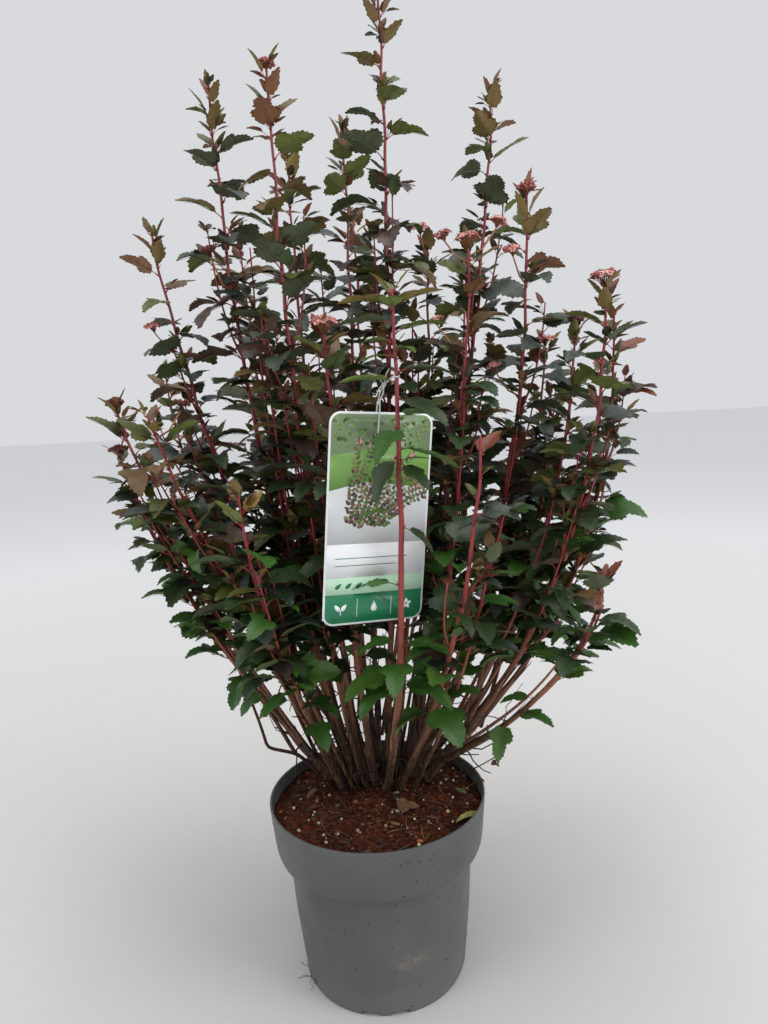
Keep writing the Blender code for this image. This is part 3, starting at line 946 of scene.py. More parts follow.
# %% Leaves with set places
# Each leaf: limb, height, azimuth and elevation in degrees, length and stalk in mm, tint, bend
SET_LEAVES = (
    ("front_centre", 0.640, 185, 50, 17, 4, "gold", 0.3),
    ("front_centre", 0.640, 10, 58, 16, 4, "gold", 0.3),
    ("front_centre", 0.637, 120, 45, 20, 5, "olive", 0.4),
    ("front_centre", 0.633, 190, 12, 33, 6, "gold", 0.5),
    ("front_centre", 0.631, 352, 22, 30, 6, "gold", 0.4),
    ("front_centre", 0.628, 262, 25, 24, 6, "lime", 0.6),
    ("front_centre", 0.619, 172, 10, 34, 8, "slate", 0.5),
    ("front_centre", 0.612, 15, 18, 32, 8, "olive", 0.5),
    ("front_centre", 0.606, 160, 15, 20, 5, "lime", 0.6),
    ("front_centre", 0.600, 300, 10, 22, 6, "leafgreen", 0.8),
    ("front_centre", 0.596, 195, 5, 22, 6, "lime", 0.6),
    ("front_centre", 0.585, 8, 8, 38, 8, "deep", 0.7),
    ("front_centre", 0.578, 176, 12, 34, 8, "lime", 0.5),
    ("front_centre", 0.566, 330, -18, 36, 8, "deep", 0.5),
    ("front_centre", 0.552, 30, 10, 30, 8, "fresh", 0.6),
    ("front_centre", 0.545, 235, -35, 30, 6, "fresh", 0.3),
    ("front_centre", 0.530, 12, -12, 40, 8, "leafgreen", 0.5),
    ("front_centre", 0.524, 215, -48, 31, 7, "deep", 0.4),
    ("front_centre", 0.519, 330, -30, 24, 6, "deep", 0.5),
    ("front_centre", 0.521, 350, 12, 18, 5, "fresh", 0.5),
    ("front_centre", 0.483, 188, 6, 22, 6, "leafgreen", 0.5),
    ("front_centre", 0.470, 350, -34, 24, 6, "deep", 0.5),
    ("front_centre", 0.422, 178, 8, 30, 10, "leafgreen", 0.7),
    ("front_centre", 0.371, 200, 5, 30, 8, "fresh", 0.8),
    ("front_centre", 0.366, 340, 10, 34, 8, "fresh", 0.8),
    ("front_centre", 0.350, 262, 0, 34, 8, "fresh", 1.0),
    ("front_centre", 0.338, 190, 0, 44, 8, "leafgreen", 1.0),
    ("front_centre", 0.330, 215, -8, 40, 8, "fresh", 1.0),
    ("front_centre", 0.331, 335, -5, 42, 9, "fresh", 0.9),
    ("front_centre", 0.322, 10, -8, 38, 9, "leafgreen", 0.9),
    ("front_right", 0.296, 300, -15, 38, 8, "fresh", 0.9),
    ("front_right", 0.287, 200, -5, 32, 8, "leafgreen", 0.9),
    ("right_low", 0.268, 240, -42, 30, 5, "leafgreen", 0.5),
    ("right_low", 0.278, 320, 18, 30, 8, "fresh", 0.9),
    ("right_low", 0.300, 175, 12, 24, 6, "fresh", 0.9),
    ("right_low", 0.361, 345, 12, 26, 6, "leafgreen", 0.9),
    ("left_low", 0.300, 250, -20, 30, 6, "fresh", 0.8),
    ("left_corymb", 0.292, 225, -15, 26, 6, "fresh", 0.8),
    ("left_copper", 0.288, 200, -5, 30, 6, "leafgreen", 0.8),
    ("front_left", 0.272, 300, -10, 30, 6, "fresh", 0.9),
)


def set_leaf(name, height, azimuth, elevation, length, stalk, tint, bend):
    shoot = shoots[name]
    far = shoot.at_height(height)
    turn = math.radians(azimuth)
    ahead, up = frame_of(turn, math.radians(elevation), 0.0)
    start = shoot.place(far) + heading(turn, 0.0) * shoot.thickness(far) * 0.8
    design = "full" if length > 22 else "young"
    order_leaf(start, unit(ahead + UP * 0.5), ahead, up, length * MM, stalk * MM, design, tint, bend,
               side_of(by_name[name]), checked=False)
    wood_nodes.append((shoot.place(far), shoot.way(far), heading(turn, 0.0), shoot.thickness(far), 0.5))


for leaf in SET_LEAVES:
    set_leaf(*leaf)
print(len(SET_LEAVES), "leaves with set places")

# %% [markdown]
# ## Bending the leaves
# A flat leaf becomes a real one in a few moves: it is folded up slightly on its midrib, cupped,
# waved along its edge, and bent along an arc so that its tip hangs. All leaves of one design are
# bent at once. The upper and the lower side are two skins that meet at the edge, a fraction of a
# millimetre apart inside it, and each wears its own colour.

# %% Bending the leaves
LEAF_THICKNESS = 0.00022
RIB_RADIUS = 0.00042
# The midrib and two of the five veins on each side
MAIN_RIBS = (0, 2, 4, 7, 9)


class Leaves:
    """The noted leaves of one design, as arrays."""

    def __init__(self, orders, seed):
        self.count = len(orders)
        columns = list(zip(*orders))
        self.start = np.array(columns[0])
        self.stalk_way = np.array(columns[1])
        self.ahead = unit(np.array(columns[2]))
        self.up = unit(np.array(columns[3]))
        self.length = np.array(columns[4])
        self.stalk = np.array(columns[5])
        self.tint = np.array(columns[7])
        self.bend = np.maximum(np.array(columns[8]), 0.1)
        dice = np.random.default_rng(seed)
        self.width = dice.uniform(0.78, 1.02, self.count)
        self.fold = dice.uniform(0.10, 0.42, self.count)
        self.cup = dice.uniform(0.15, 0.55, self.count)
        self.twist = dice.normal(0.0, 0.22, self.count)
        self.wave = dice.uniform(0.0, math.tau, (self.count, 2))
        self.wave_size = dice.uniform(0.006, 0.022, self.count)
        self.knee = self.start + self.stalk_way * self.stalk[:, None] * 0.5
        self.base = self.knee + self.ahead * self.stalk[:, None] * 0.5

    def lay(self, across, along, rise):
        """Places on the bent blades for flat places on the leaf, as (leaves, places, 3)."""
        across = np.asarray(across)[None] * self.width[:, None]
        along = np.asarray(along)[None]
        bend = self.bend[:, None]
        turn = bend * along
        ahead = self.ahead[:, None]
        up = self.up[:, None]
        run = np.sin(turn) / bend
        drop = (1.0 - np.cos(turn)) / bend
        rising = np.sin(turn)[..., None] * ahead + np.cos(turn)[..., None] * up
        flat = np.cross(ahead, up)
        roll = self.twist[:, None] * along
        side = np.cos(roll)[..., None] * flat + np.sin(roll)[..., None] * rising
        rising = np.cos(roll)[..., None] * rising - np.sin(roll)[..., None] * flat
        edge = np.abs(across)
        waves = np.sin(11.0 * along + self.wave[:, :1] + 2.0 * np.sign(across)) * edge * 2.2
        lift = edge * np.sin(self.fold)[:, None] - self.cup[:, None] * across ** 2
        lift = lift + waves * self.wave_size[:, None] + np.asarray(rise)[None]
        place = run[..., None] * ahead - drop[..., None] * up
        place = place + (across * np.cos(self.fold)[:, None])[..., None] * side + lift[..., None] * rising
        return self.base[:, None] + place * self.length[:, None, None], rising


# %% [markdown]
# Veins stand out under a real leaf, so the larger leaves get thin ribs below: the midrib and two
# veins on each side. Every leaf also gets its stalk, which bends once between the bark and the
# blade.

# %% Veins and stalks
LEAF_PIECES = {}


def leaf_heap(slot, side):
    return LEAF_PIECES.setdefault((slot, side), Heap())


def finish_numbers(slot):
    """Where each tint's three finishes stand in the list of its piece."""
    names = [tint for tint in TINT_NAMES if TINTS[tint][0] == slot]
    return {TINT_NAMES.index(tint): number * 3 for number, tint in enumerate(names)}


def rib_paths(leaves, blade, share):
    """The raised midrib and main veins under each leaf, as paths of three points."""
    paths = []
    for number in MAIN_RIBS:
        (x0, y0), (x1, y1) = blade.ribs[number]
        steps = np.linspace(0.0, share, 3)
        across = x0 + (x1 - x0) * steps
        along = y0 + (y1 - y0) * steps
        places_on, rising = leaves.lay(across, along, np.full(3, -VEIN_SINK * 0.5))
        paths.append(places_on - rising * LEAF_THICKNESS * 1.4)
    return paths


def make_leaves(design, slot, side, orders, stalks):
    """Builds the leaves of one design, slot and side, and their stalks."""
    blade = BLADES[design]
    leaves = Leaves(orders, len(orders))
    heap = leaf_heap(slot, side)
    numbers = finish_numbers(slot)
    finish = np.array([numbers[tint] for tint in leaves.tint])
    x, y, rise = blade.points.T
    rise = rise * {"full": 1.0, "young": 0.8, "bud": 0.0}[design]
    top, rising = leaves.lay(x, y, rise)
    chart = np.stack((x + 0.5, y), axis=1)
    heap.add(top, blade.faces, finish, chart)
    thick = np.where(blade.inside, LEAF_THICKNESS, 0.0)
    heap.add(top - rising * thick[None, :, None], blade.faces[:, ::-1], finish + 1, chart)
    if design == "full":
        across = np.cross(leaves.ahead, leaves.up)
        for number, path in enumerate(rib_paths(leaves, blade, 0.94)):
            size = RIB_RADIUS * (1.0 if number == 0 else 0.55)
            radii = np.broadcast_to(np.array((1.0, 0.7, 0.2)) * size, path.shape[:2])
            add_tubes(heap, path, radii, across if number == 0 else leaves.up, 3, finish + 2)
    knee = leaves.knee
    share = np.linspace(0.0, 1.0, 4)[None, :, None]
    first = leaves.start[:, None] * (1 - share) + knee[:, None] * share
    second = knee[:, None] * (1 - share) + leaves.base[:, None] * share
    stalk_path = first * (1 - share) + second * share
    thickness = np.clip(leaves.length * 0.017, 0.00025, 0.0007)
    radii = thickness[:, None] * np.array((1.25, 0.9, 0.85, 1.1))[None]
    binormal = unit(np.cross(leaves.stalk_way, leaves.ahead) + np.cross(leaves.ahead, leaves.up) * 0.05)
    green = np.isin(leaves.tint, [TINT_NAMES.index(name) for name in ("fresh", "leafgreen", "lime")])
    add_tubes(stalks, stalk_path, radii, binormal, 3, np.where(green, 1, 0))


stalk_heap = Heap()
groups = {}
for order in leaf_orders:
    key = (order[6], TINTS[TINT_NAMES[order[7]]][0], order[9])
    groups.setdefault(key, []).append(order)
for (design, slot, side), orders in sorted(groups.items()):
    make_leaves(design, slot, side, orders, stalk_heap)
print(len(leaf_orders), "leaves bent")

# %% [markdown]
# ## Joining the leaves
# The leaves are joined by colour, and the dark ones also by which part of the crown they are in, so
# that no piece gets too heavy. Together they stand for the masses of leaves of the plain model.

# %% Joining the leaves
masses = {}
for subpart in frame["record"]["subparts"]:
    if subpart["node"].startswith("leaves_"):
        masses.setdefault(subpart["material_slot"], []).append(subpart["node"])

for (slot, side), heap in sorted(LEAF_PIECES.items()):
    finishes = [finish for tint in TINT_NAMES if TINTS[tint][0] == slot for finish in LEAF_FINISHES[tint]]
    join(f"{slot}_{side}", heap, finishes, masses[slot])

# %% [markdown]
# ## Bark
# At its foot an old ninebark stem is dark brown and peels in tan strips. Higher up it turns orange
# brown and then crimson. The change goes by height, so one finish for all stems reads its colour
# from the height, with streaks that run up the stem. The relief of the lower bark is modelled:
# ridges and furrows that fade upward, and loose strips that stand off.

# %% Bark finish
def bark_finish():
    finish = Finish("bark", (0.16, 0.05, 0.035), 0.62)
    split = finish.add("ShaderNodeSeparateXYZ")
    finish.join(finish.coordinates(), split.inputs[0])
    height = finish.span(split.outputs["Z"], 0.17, 0.62)
    wander = finish.mix(0.14, height, finish.noise(35.0, 2.0), "ADD")
    base = finish.ramp(wander, (
        (0.05, (0.014, 0.007, 0.006)),
        (0.20, (0.034, 0.014, 0.009)),
        (0.34, (0.190, 0.075, 0.040)),
        (0.50, (0.300, 0.075, 0.050)),
        (0.66, (0.260, 0.030, 0.034)),
        (0.95, (0.230, 0.024, 0.032)),
    ))
    streaks = finish.ramp(finish.noise(420.0, 3.0, (1.0, 1.0, 0.09)), ((0.42, (0, 0, 0)), (0.66, (1, 1, 1))))
    low = finish.span(split.outputs["Z"], 0.19, 0.36, 0.42, 0.0)
    tan = finish.mix(low, (0.0, 0.0, 0.0), streaks)
    finish.colour(finish.mix(tan, base, (0.36, 0.19, 0.085)))
    finish.roughness(finish.span(split.outputs["Z"], 0.2, 0.5, 0.8, 0.42))
    finish.bump(finish.noise(520.0, 4.0, (1.0, 1.0, 0.16)), 0.0006, 0.7)
    return finish.material


bark = bark_finish()


# How fast the ridges change round a stem and along it
RIDGE_ROUND = 1.3
RIDGE_ALONG = 38.0
# The old bark's roughness fades out below this height, over this distance
SMOOTH_ABOVE = 0.40
SMOOTH_FADE = 0.22
# Relief as shares of the radius, everywhere and on old bark
SMOOTH_RELIEF = 0.10
ROUGH_RELIEF = 0.42


def bark_rings(shoot, sides, seed):
    """Radii round each ring of a stem: ridged and furrowed low down, smooth higher up."""
    turns = math.tau * np.arange(sides) / sides
    x = np.cos(turns) * RIDGE_ROUND + seed
    y = np.sin(turns) * RIDGE_ROUND
    rough = np.clip((SMOOTH_ABOVE - shoot.points[:, 2]) / SMOOTH_FADE, 0.0, 1.0) ** 1.3
    swell = []
    for height, share in zip(shoot.points[:, 2], rough):
        around = [noise.noise(Vector((*spot, height * RIDGE_ALONG))) for spot in zip(x, y)]
        swell.append(1.0 + np.array(around) * (SMOOTH_RELIEF + ROUGH_RELIEF * share))
    return shoot.radii[:, None] * np.array(swell)


def add_bark(heap, shoot, sides, seed, low=0, high=None):
    """Adds a stretch of a shoot as a closed tube with bark relief."""
    cut = slice(low, high)
    path = shoot.points[cut][None]
    across = np.cross(shoot.points[-1] - shoot.points[0], UP)
    across = unit(across if np.linalg.norm(across) > 1e-5 else np.array((1.0, 0.0, 0.0)))
    ones = np.ones(path.shape[:2])
    round_ones = rings_along(path, ones, across[None], sides) - path[:, :, None]
    radii = bark_rings(shoot, sides, seed)[cut]
    rings = (path[:, :, None] + round_ones * radii[None, :, :, None])[0]
    add_body(heap, rings, rings[0].mean(0), rings[-1].mean(0))


# %% [markdown]
# The bare stems and the boughs each become one piece that takes the place of the plain solids. The
# same shoots go on through the leaves as a third piece, thinner and smoother.

# %% Stems, boughs and the wood among the leaves
BARK_SIDES = 11
stem_heap = Heap()
bough_heap = Heap()
inner_heap = Heap()
for number, limb in enumerate(limbs):
    shoot = shoots[limb.name]
    split_at = int(np.searchsorted(shoot.points[:, 2], limb.leafy_from))
    add_bark(stem_heap if limb.is_stem else bough_heap, shoot, BARK_SIDES, number * 3.1, 0, split_at + 1)
    add_bark(inner_heap, shoot, 8, number * 3.1, split_at)
join("stems", stem_heap, [bark], [limb.node for limb in limbs if limb.is_stem])
join("boughs", bough_heap, [bark], [limb.node for limb in limbs if not limb.is_stem])
for number, shoot in enumerate(basal_shoots):
    add_bark(inner_heap, shoot, 7, 50.0 + number)
for number, shoot in enumerate(twigs):
    add_bark(inner_heap, shoot, 5, 150.0 + number)
join("wood_among_leaves", inner_heap, [bark])

# %% [markdown]
# ## Leaf stalks and spurs
# Every leaf hangs on a thin stalk, red high up and green on the fresh low leaves. Beside each stalk
# the stem carries small pointed spurs, which catch the eye on the bare red tops.

# %% Leaf stalks and spurs
SPUR_LENGTH = (0.0018, 0.0042)


def add_spurs(heap):
    dice = random.Random("spurs")
    paths = []
    sides = []
    for place, along, out, radius, share in wood_nodes:
        for lean in (0.5, -0.5):
            side = np.cross(along, out)
            way = unit(out + side * lean * dice.uniform(0.6, 1.6) + along * dice.uniform(0.4, 1.4))
            root = place + unit(out + side * lean) * radius * 0.7
            length = dice.uniform(*SPUR_LENGTH)
            paths.append((root, root + way * length * 0.5, root + way * length + along * length * 0.25))
            sides.append(unit(np.cross(way, along) + side * 0.01))
    radii = np.broadcast_to(np.array((0.0007, 0.0005, 0.0001)), (len(paths), 3))
    add_tubes(heap, np.array(paths), radii, np.array(sides), 3, 0)


def stalk_finish(name, colour):
    finish = Finish(name, colour, 0.5)
    finish.bump(finish.noise(300.0), 0.0002)
    return finish.material


add_spurs(stalk_heap)
join("leaf_stalks", stalk_heap, [stalk_finish("red stalk", (0.27, 0.050, 0.042)),
                                 stalk_finish("green stalk", (0.13, 0.13, 0.030))])

# %% [markdown]
# ## The foot of the clump
# Low down the old stems shed strips of tan bark, and between them stand dead stubs and a tangle of
# thin dark twigs. The strips are flattened tubes that follow a stem and lift at one end. The dead
# twigs wander from the stems near the mix, each in short straight runs.

# %% Peeling strips and dead twigs
STRIPS_EACH = 9
DEAD_TWIGS = 170


def add_strips(heap):
    dice = random.Random("strips")
    for limb in limbs:
        shoot = shoots[limb.name]
        for _ in range(STRIPS_EACH):
            low = dice.uniform(limb.foot[2] + 0.004, limb.foot[2] + 0.13)
            length = dice.uniform(0.012, 0.045)
            turn = dice.uniform(0.0, math.tau)
            steps = 6
            fars = np.linspace(shoot.at_height(low), shoot.at_height(low) + length, steps)
            lift = np.linspace(0.0, 1.0, steps) ** 2 * dice.uniform(0.0005, 0.0035)
            drift = np.linspace(0.0, dice.uniform(-0.5, 0.5), steps)
            path = []
            for far, off, slide in zip(fars, lift, drift):
                out = heading(turn + slide, 0.0)
                path.append(shoot.place(far) + out * (shoot.thickness(far) * 1.06 + 0.0002 + off))
            width = dice.uniform(0.0006, 0.0014)
            radii = np.array((0.3, 1.0, 1.0, 0.9, 0.7, 0.2)) * width
            add_tubes(heap, [path], [radii], [heading(turn + math.pi / 2, 0.0)], 4,
                      dice.choice((0, 1, 1, 2)), 0.28)


def crooked(dice, start, way, length, runs, bend):
    """A path of short runs that keeps changing direction a little."""
    points = [start]
    for _ in range(runs):
        way = unit(way + np.array([dice.gauss(0.0, bend) for _ in range(3)]))
        points.append(points[-1] + way * length / runs)
    return np.array(points)


def add_dead_twigs(heap):
    dice = random.Random("dead twigs")
    hosts = [shoots[limb.name] for limb in limbs] + basal_shoots
    for _ in range(DEAD_TWIGS):
        shoot = dice.choice(hosts)
        far = dice.uniform(0.003, 0.120)
        turn = dice.uniform(0.0, math.tau)
        way = heading(turn, dice.uniform(0.1, 1.2))
        length = dice.choice((0.012, 0.02, 0.03, 0.045, 0.06))
        path = crooked(dice, shoot.place(far), way, length, 6, 0.28)
        path[:, 2] = np.maximum(path[:, 2], 0.176)
        thick = dice.uniform(0.0005, 0.0013)
        add_tubes(heap, [path], [np.linspace(1.0, 0.45, 7) * thick], [np.cross(way, UP)], 5,
                  dice.choice((3, 3, 3, 4)))


def litter_finish(name, colour, roughness=0.85):
    finish = Finish(name, colour, roughness)
    dark = tuple(value * 0.45 for value in colour)
    finish.colour(finish.ramp(finish.noise(260.0, 4.0), ((0.35, dark), (0.65, colour))))
    finish.bump(finish.noise(500.0, 3.0), 0.0004)
    return finish.material


foot_heap = Heap()
add_strips(foot_heap)
add_dead_twigs(foot_heap)
FOOT_FINISHES = [
    litter_finish("tan bark strip", (0.34, 0.19, 0.09)),
    litter_finish("brown bark strip", (0.13, 0.060, 0.030)),
    litter_finish("orange bark strip", (0.30, 0.12, 0.045)),
    litter_finish("dead twig", (0.028, 0.017, 0.013)),
    litter_finish("red dead twig", (0.075, 0.022, 0.016)),
]

# %% [markdown]
# Two odd pieces of wood have a place of their own: a kinked cane that leaves the clump on the left,
# turns outward and climbs again, and a dead twig that leans over the rim on the right with one
# curled brown leaf.

# %% The kinked cane and the leaning twig
KINKED_CANE = ((-0.058, 0.046, 0.174), (-0.082, 0.040, 0.204), (-0.112, 0.036, 0.214),
               (-0.117, 0.034, 0.240), (-0.128, 0.030, 0.285), (-0.140, 0.024, 0.330))
LEANING_TWIG = ((0.079, 0.030, 0.173), (0.094, 0.024, 0.186), (0.108, 0.018, 0.196), (0.122, 0.012, 0.208))


def add_route(heap, route, thick, thin, sides, finish):
    """A tube along a few set points, rounded a little at each."""
    route = np.array(route)
    share = np.linspace(0.0, len(route) - 1.0, (len(route) - 1) * 5 + 1)
    path = np.stack([np.interp(share, np.arange(len(route)), route[:, axis]) for axis in range(3)], axis=1)
    path[1:-1] = (path[:-2] + path[1:-1] * 2.0 + path[2:]) / 4.0
    across = unit(np.cross(route[-1] - route[0], UP))
    add_tubes(heap, [path], [np.linspace(thick, thin, len(path))], [across], sides, finish)


add_route(foot_heap, KINKED_CANE, 0.0021, 0.0011, 7, 4)
add_route(foot_heap, LEANING_TWIG, 0.0008, 0.0005, 5, 4)
join("old_bark_and_dead_twigs", foot_heap, FOOT_FINISHES)

# %% [markdown]
# ## Flower heads
# Ninebark flowers in domed heads a few centimetres wide. Many thin stalks rise from one point and
# carry small florets on a shallow dome. Young heads are tight round buds, open ones pale pink
# petals with long stamens, and old ones red-brown seed cases. Each floret is a few faces, and a
# head is forty or so of them.

# %% Florets
GOLDEN = math.radians(137.5)


def sphere(rings, sides):
    """A small ball, one unit in radius, as points and four-cornered and three-cornered faces."""
    points = [(0.0, 0.0, 1.0)]
    for ring in range(1, rings):
        tilt = math.pi * ring / rings
        for side in range(sides):
            turn = math.tau * side / sides
            points.append((math.sin(tilt) * math.cos(turn), math.sin(tilt) * math.sin(turn), math.cos(tilt)))
    points.append((0.0, 0.0, -1.0))
    faces = []
    for side in range(sides):
        after = (side + 1) % sides
        faces.append((0, 1 + side, 1 + after))
        last = 1 + (rings - 2) * sides
        faces.append((len(points) - 1, last + after, last + side))
        for ring in range(rings - 2):
            low = 1 + ring * sides
            faces.append((low + side, low + sides + side, low + sides + after))
            faces.append((low + side, low + sides + after, low + after))
    return np.array(points), np.array(faces)


BALL_POINTS, BALL_FACES = sphere(4, 6)


def turned_to(points, ahead, twist):
    """Turns local points so that their third axis points ahead."""
    ahead = unit(np.asarray(ahead, float))
    start = np.array((1.0, 0.0, 0.0)) if abs(ahead[0]) < 0.8 else np.array((0.0, 1.0, 0.0))
    side = unit(np.cross(ahead, start))
    other = np.cross(ahead, side)
    spun = math.cos(twist) * side + math.sin(twist) * other
    return points @ np.stack((spun, np.cross(ahead, spun), ahead))


# One petal with its middle pressed in, one unit long and cupped upward
PETALS = 5
PETAL = np.array(((0.0, 0.0, 0.0), (0.34, 0.62, 0.16), (0.0, 1.05, 0.22), (-0.34, 0.62, 0.16),
                  (0.0, 0.6, 0.06)))
PETAL_FACES = np.array(((0, 1, 4), (1, 2, 4), (2, 3, 4), (3, 0, 4)))


def floret(heap, kind, place, ahead, size, twist):
    """One flower: a bud, an open flower or a seed case."""
    if kind == "bud":
        heap.add(turned_to(BALL_POINTS * (size, size, size * 1.25), ahead, twist) + place, BALL_FACES, 1)
        return
    if kind == "seed":
        for lobe in range(3):
            turn = twist + lobe * math.tau / 3
            shift = np.array((math.cos(turn), math.sin(turn), 0.3)) * size * 0.7
            points = BALL_POINTS * (size * 0.62, size * 0.62, size * 1.1) + shift
            heap.add(turned_to(points, ahead, 0.0) + place, BALL_FACES, 3)
        return
    heap.add(turned_to(BALL_POINTS * size * 0.42, ahead, twist) + place, BALL_FACES, 4)
    both = np.concatenate((PETAL_FACES, PETAL_FACES[:, ::-1] + len(PETAL)))
    for number in range(PETALS):
        top = PETAL * size * 1.5 @ np.array(Matrix.Rotation(-number * math.tau / PETALS, 3, "Z"))
        skin = np.concatenate((top, top - np.array((0.0, 0.0, size * 0.05))))
        heap.add(turned_to(skin, ahead, twist) + place, both, 2 if number % 2 else 5)
    for number in range(7):
        turn = number * 2.4
        tip = np.array((math.cos(turn) * 0.9, math.sin(turn) * 0.9, 1.35)) * size
        needle = np.stack((tip * 0.1 + (0.04 * size, 0.0, 0.0), tip * 0.1 - (0.04 * size, 0.0, 0.0), tip))
        heap.add(turned_to(needle, ahead, twist) + place, [(0, 1, 2), (2, 1, 0)], 6)


# %% [markdown]
# A head is laid out like the seeds of a sunflower: each floret takes the next step of the golden
# angle, and its distance from the middle grows with the square root of its number. That fills a
# round dome evenly with no rows to be seen.

# %% Heads
# Each head: limb, height, azimuth and how far it stands off in mm, width in mm, florets, kind
HEADS = (
    ("left_bud", None, 0, 0, 13, 30, "bud"),
    ("front_corymb", None, 0, 0, 25, 46, "open"),
    ("right_second", None, 0, 0, 16, 34, "bud"),
    ("right_corymb", None, 0, 0, 27, 46, "open"),
    ("right_pink", None, 0, 0, 19, 36, "open"),
    ("right_inner", None, 0, 0, 19, 26, "seed"),
    ("right_trio", None, 0, 0, 25, 44, "open"),
    ("right_trio", 0.672, 155, 20, 16, 24, "open"),
    ("right_trio", 0.676, 10, 24, 16, 24, "open"),
    ("left_low", None, 0, 0, 20, 24, "seed"),
    ("left_corymb", None, 0, 0, 16, 20, "seed"),
    ("middle_copper", 0.690, 250, 20, 17, 26, "open"),
    ("right_second", 0.655, 235, 22, 16, 24, "open"),
    ("left_high", 0.610, 215, 24, 15, 24, "open"),
    ("left_copper", 0.545, 40, 22, 14, 18, "seed"),
    ("right_second", 0.560, 205, 24, 15, 22, "open"),
    ("left_tall", 0.660, 250, 30, 15, 20, "seed"),
    ("right_trio", 0.600, 200, 24, 14, 20, "open"),
    ("back_left", None, 0, 0, 20, 30, "seed"),
    ("back_right", None, 0, 0, 22, 40, "open"),
    ("far_back", None, 0, 0, 18, 24, "seed"),
    ("back_middle", 0.700, 60, 26, 18, 28, "open"),
)
HEAD_SINK = 0.006
# An open head still has some florets in bud
OPEN_SHARE = 0.8


def add_head(heap, limb_name, height, azimuth, reach, width, count, kind):
    dice = random.Random(f"{limb_name} {height} {azimuth}")
    shoot = shoots[limb_name]
    turn = math.radians(azimuth)
    if height is None:
        root = shoot.place(shoot.length) - UP * HEAD_SINK
        ahead = unit(shoot.way(shoot.length) + UP)
    else:
        far = shoot.at_height(height)
        out = heading(turn, 0.0)
        start = shoot.place(far)
        root = start + out * reach * MM + UP * reach * MM * 0.9
        ahead = unit(out * 0.3 + UP)
        path = np.array([start, start + out * reach * MM * 0.5 + UP * reach * MM * 0.25, root])
        add_tubes(heap, [path], [(0.0009, 0.0008, 0.0007)], [np.cross(out, UP)], 5, 0)
    radius = width * MM / 2
    rise = radius * (0.95 if kind == "bud" else 0.75)
    size = {"bud": 0.0012, "open": 0.0017, "seed": 0.0014}[kind]
    centres = []
    for number in range(count):
        share = math.sqrt((number + 0.5) / count)
        spin = number * GOLDEN
        tilt = share * (1.25 if kind == "bud" else 0.95)
        local = np.array((math.cos(spin) * math.sin(tilt) * radius, math.sin(spin) * math.sin(tilt) * radius,
                          rise * math.cos(tilt) + dice.uniform(-0.0012, 0.0012)))
        local[2] = max(local[2], rise * 0.25)
        place = root + turned_to(local, ahead, 0.0) + ahead * radius * 0.35
        centres.append(place)
        mixed = "bud" if dice.random() >= OPEN_SHARE and kind == "open" else kind
        own_size = size * dice.uniform(0.8, 1.15)
        floret(heap, mixed, place, unit(place - root), own_size, dice.uniform(0.0, 6.3))
    centres = np.array(centres)
    share = np.linspace(0.0, 1.0, 3)[None, :, None]
    paths = root * (1 - share) + centres[:, None] * share + ahead * 0.002 * np.sin(share * math.pi)
    ways = unit(np.cross(centres - root, ahead) + 1e-6)
    add_tubes(heap, paths, np.full(paths.shape[:2], 0.00028), ways, 3, 0 if kind != "seed" else 3)


def blossom_finish(name, colour, roughness=0.6):
    finish = Finish(name, colour, roughness)
    finish.bump(finish.noise(700.0), 0.0002)
    return finish.material


blossom_heap = Heap()
for head in HEADS:
    add_head(blossom_heap, *head)
join("flower_heads", blossom_heap, [
    blossom_finish("flower stalk", (0.30, 0.12, 0.060)),
    blossom_finish("pink bud", (0.34, 0.085, 0.080)),
    blossom_finish("pale pink petal", (0.74, 0.42, 0.37)),
    blossom_finish("seed case", (0.115, 0.028, 0.022)),
    blossom_finish("flower heart", (0.30, 0.060, 0.045)),
    blossom_finish("pink petal", (0.62, 0.27, 0.25)),
    blossom_finish("stamen", (0.60, 0.24, 0.22)),
])

# %% [markdown]
# ## The pot
# The pot is moulded in grey plastic: a straight foot with notches that let water out, a tapering
# body and a wider collar up to the rim. It is a turned shape, so its outline is swept round the
# axis in many steps, and every edge that a mould would round is rounded. Boxes cut the notches.

# %% The pot
POT_SIDES = 144
WALL = 0.0023
RIM_RADIUS, _, RIM_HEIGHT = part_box("pot")[1]
# Outer face from the foot to under the rim, as (radius, height)
POT_FACE = ((0.0785, 0.0), (0.0802, 0.004), (0.0825, 0.026), (0.0867, 0.070), (0.0897, 0.125),
            (0.0930, 0.127), (0.0985, 0.131), (0.1010, 0.137), (0.1022, 0.145), (0.1035, 0.160))
COLLAR_FOOT = 4
EDGE_ROUNDING = 0.0016


def softened(outline, size):
    """Cuts each corner of an outline back and rounds it with three points."""
    outline = [np.array(point, float) for point in outline]
    soft = [outline[0]]
    for before, corner, after in zip(outline, outline[1:], outline[2:]):
        back = min(size, np.linalg.norm(before - corner) * 0.45)
        on = min(size, np.linalg.norm(after - corner) * 0.45)
        first = corner + unit(before - corner) * back
        last = corner + unit(after - corner) * on
        soft += [first, first * 0.25 + corner * 0.5 + last * 0.25, last]
    soft.append(outline[-1])
    return np.array(soft)


def inside_face(clear):
    """The pot's inner face, or one that stands clear of it, from the foot up."""
    foot = (POT_FACE[1][0] - clear, clear)
    return [foot, *[(radius - clear, height + clear) for radius, height in POT_FACE[COLLAR_FOOT:]]]


def turned(outline, sides):
    """Rings of points that sweep an outline, as (radius, height), once round the axis."""
    turns = math.tau * np.arange(sides) / sides
    across, away = np.cos(turns), np.sin(turns)
    return np.array([np.stack((across * r, away * r, np.full(sides, z)), axis=1) for r, z in outline])


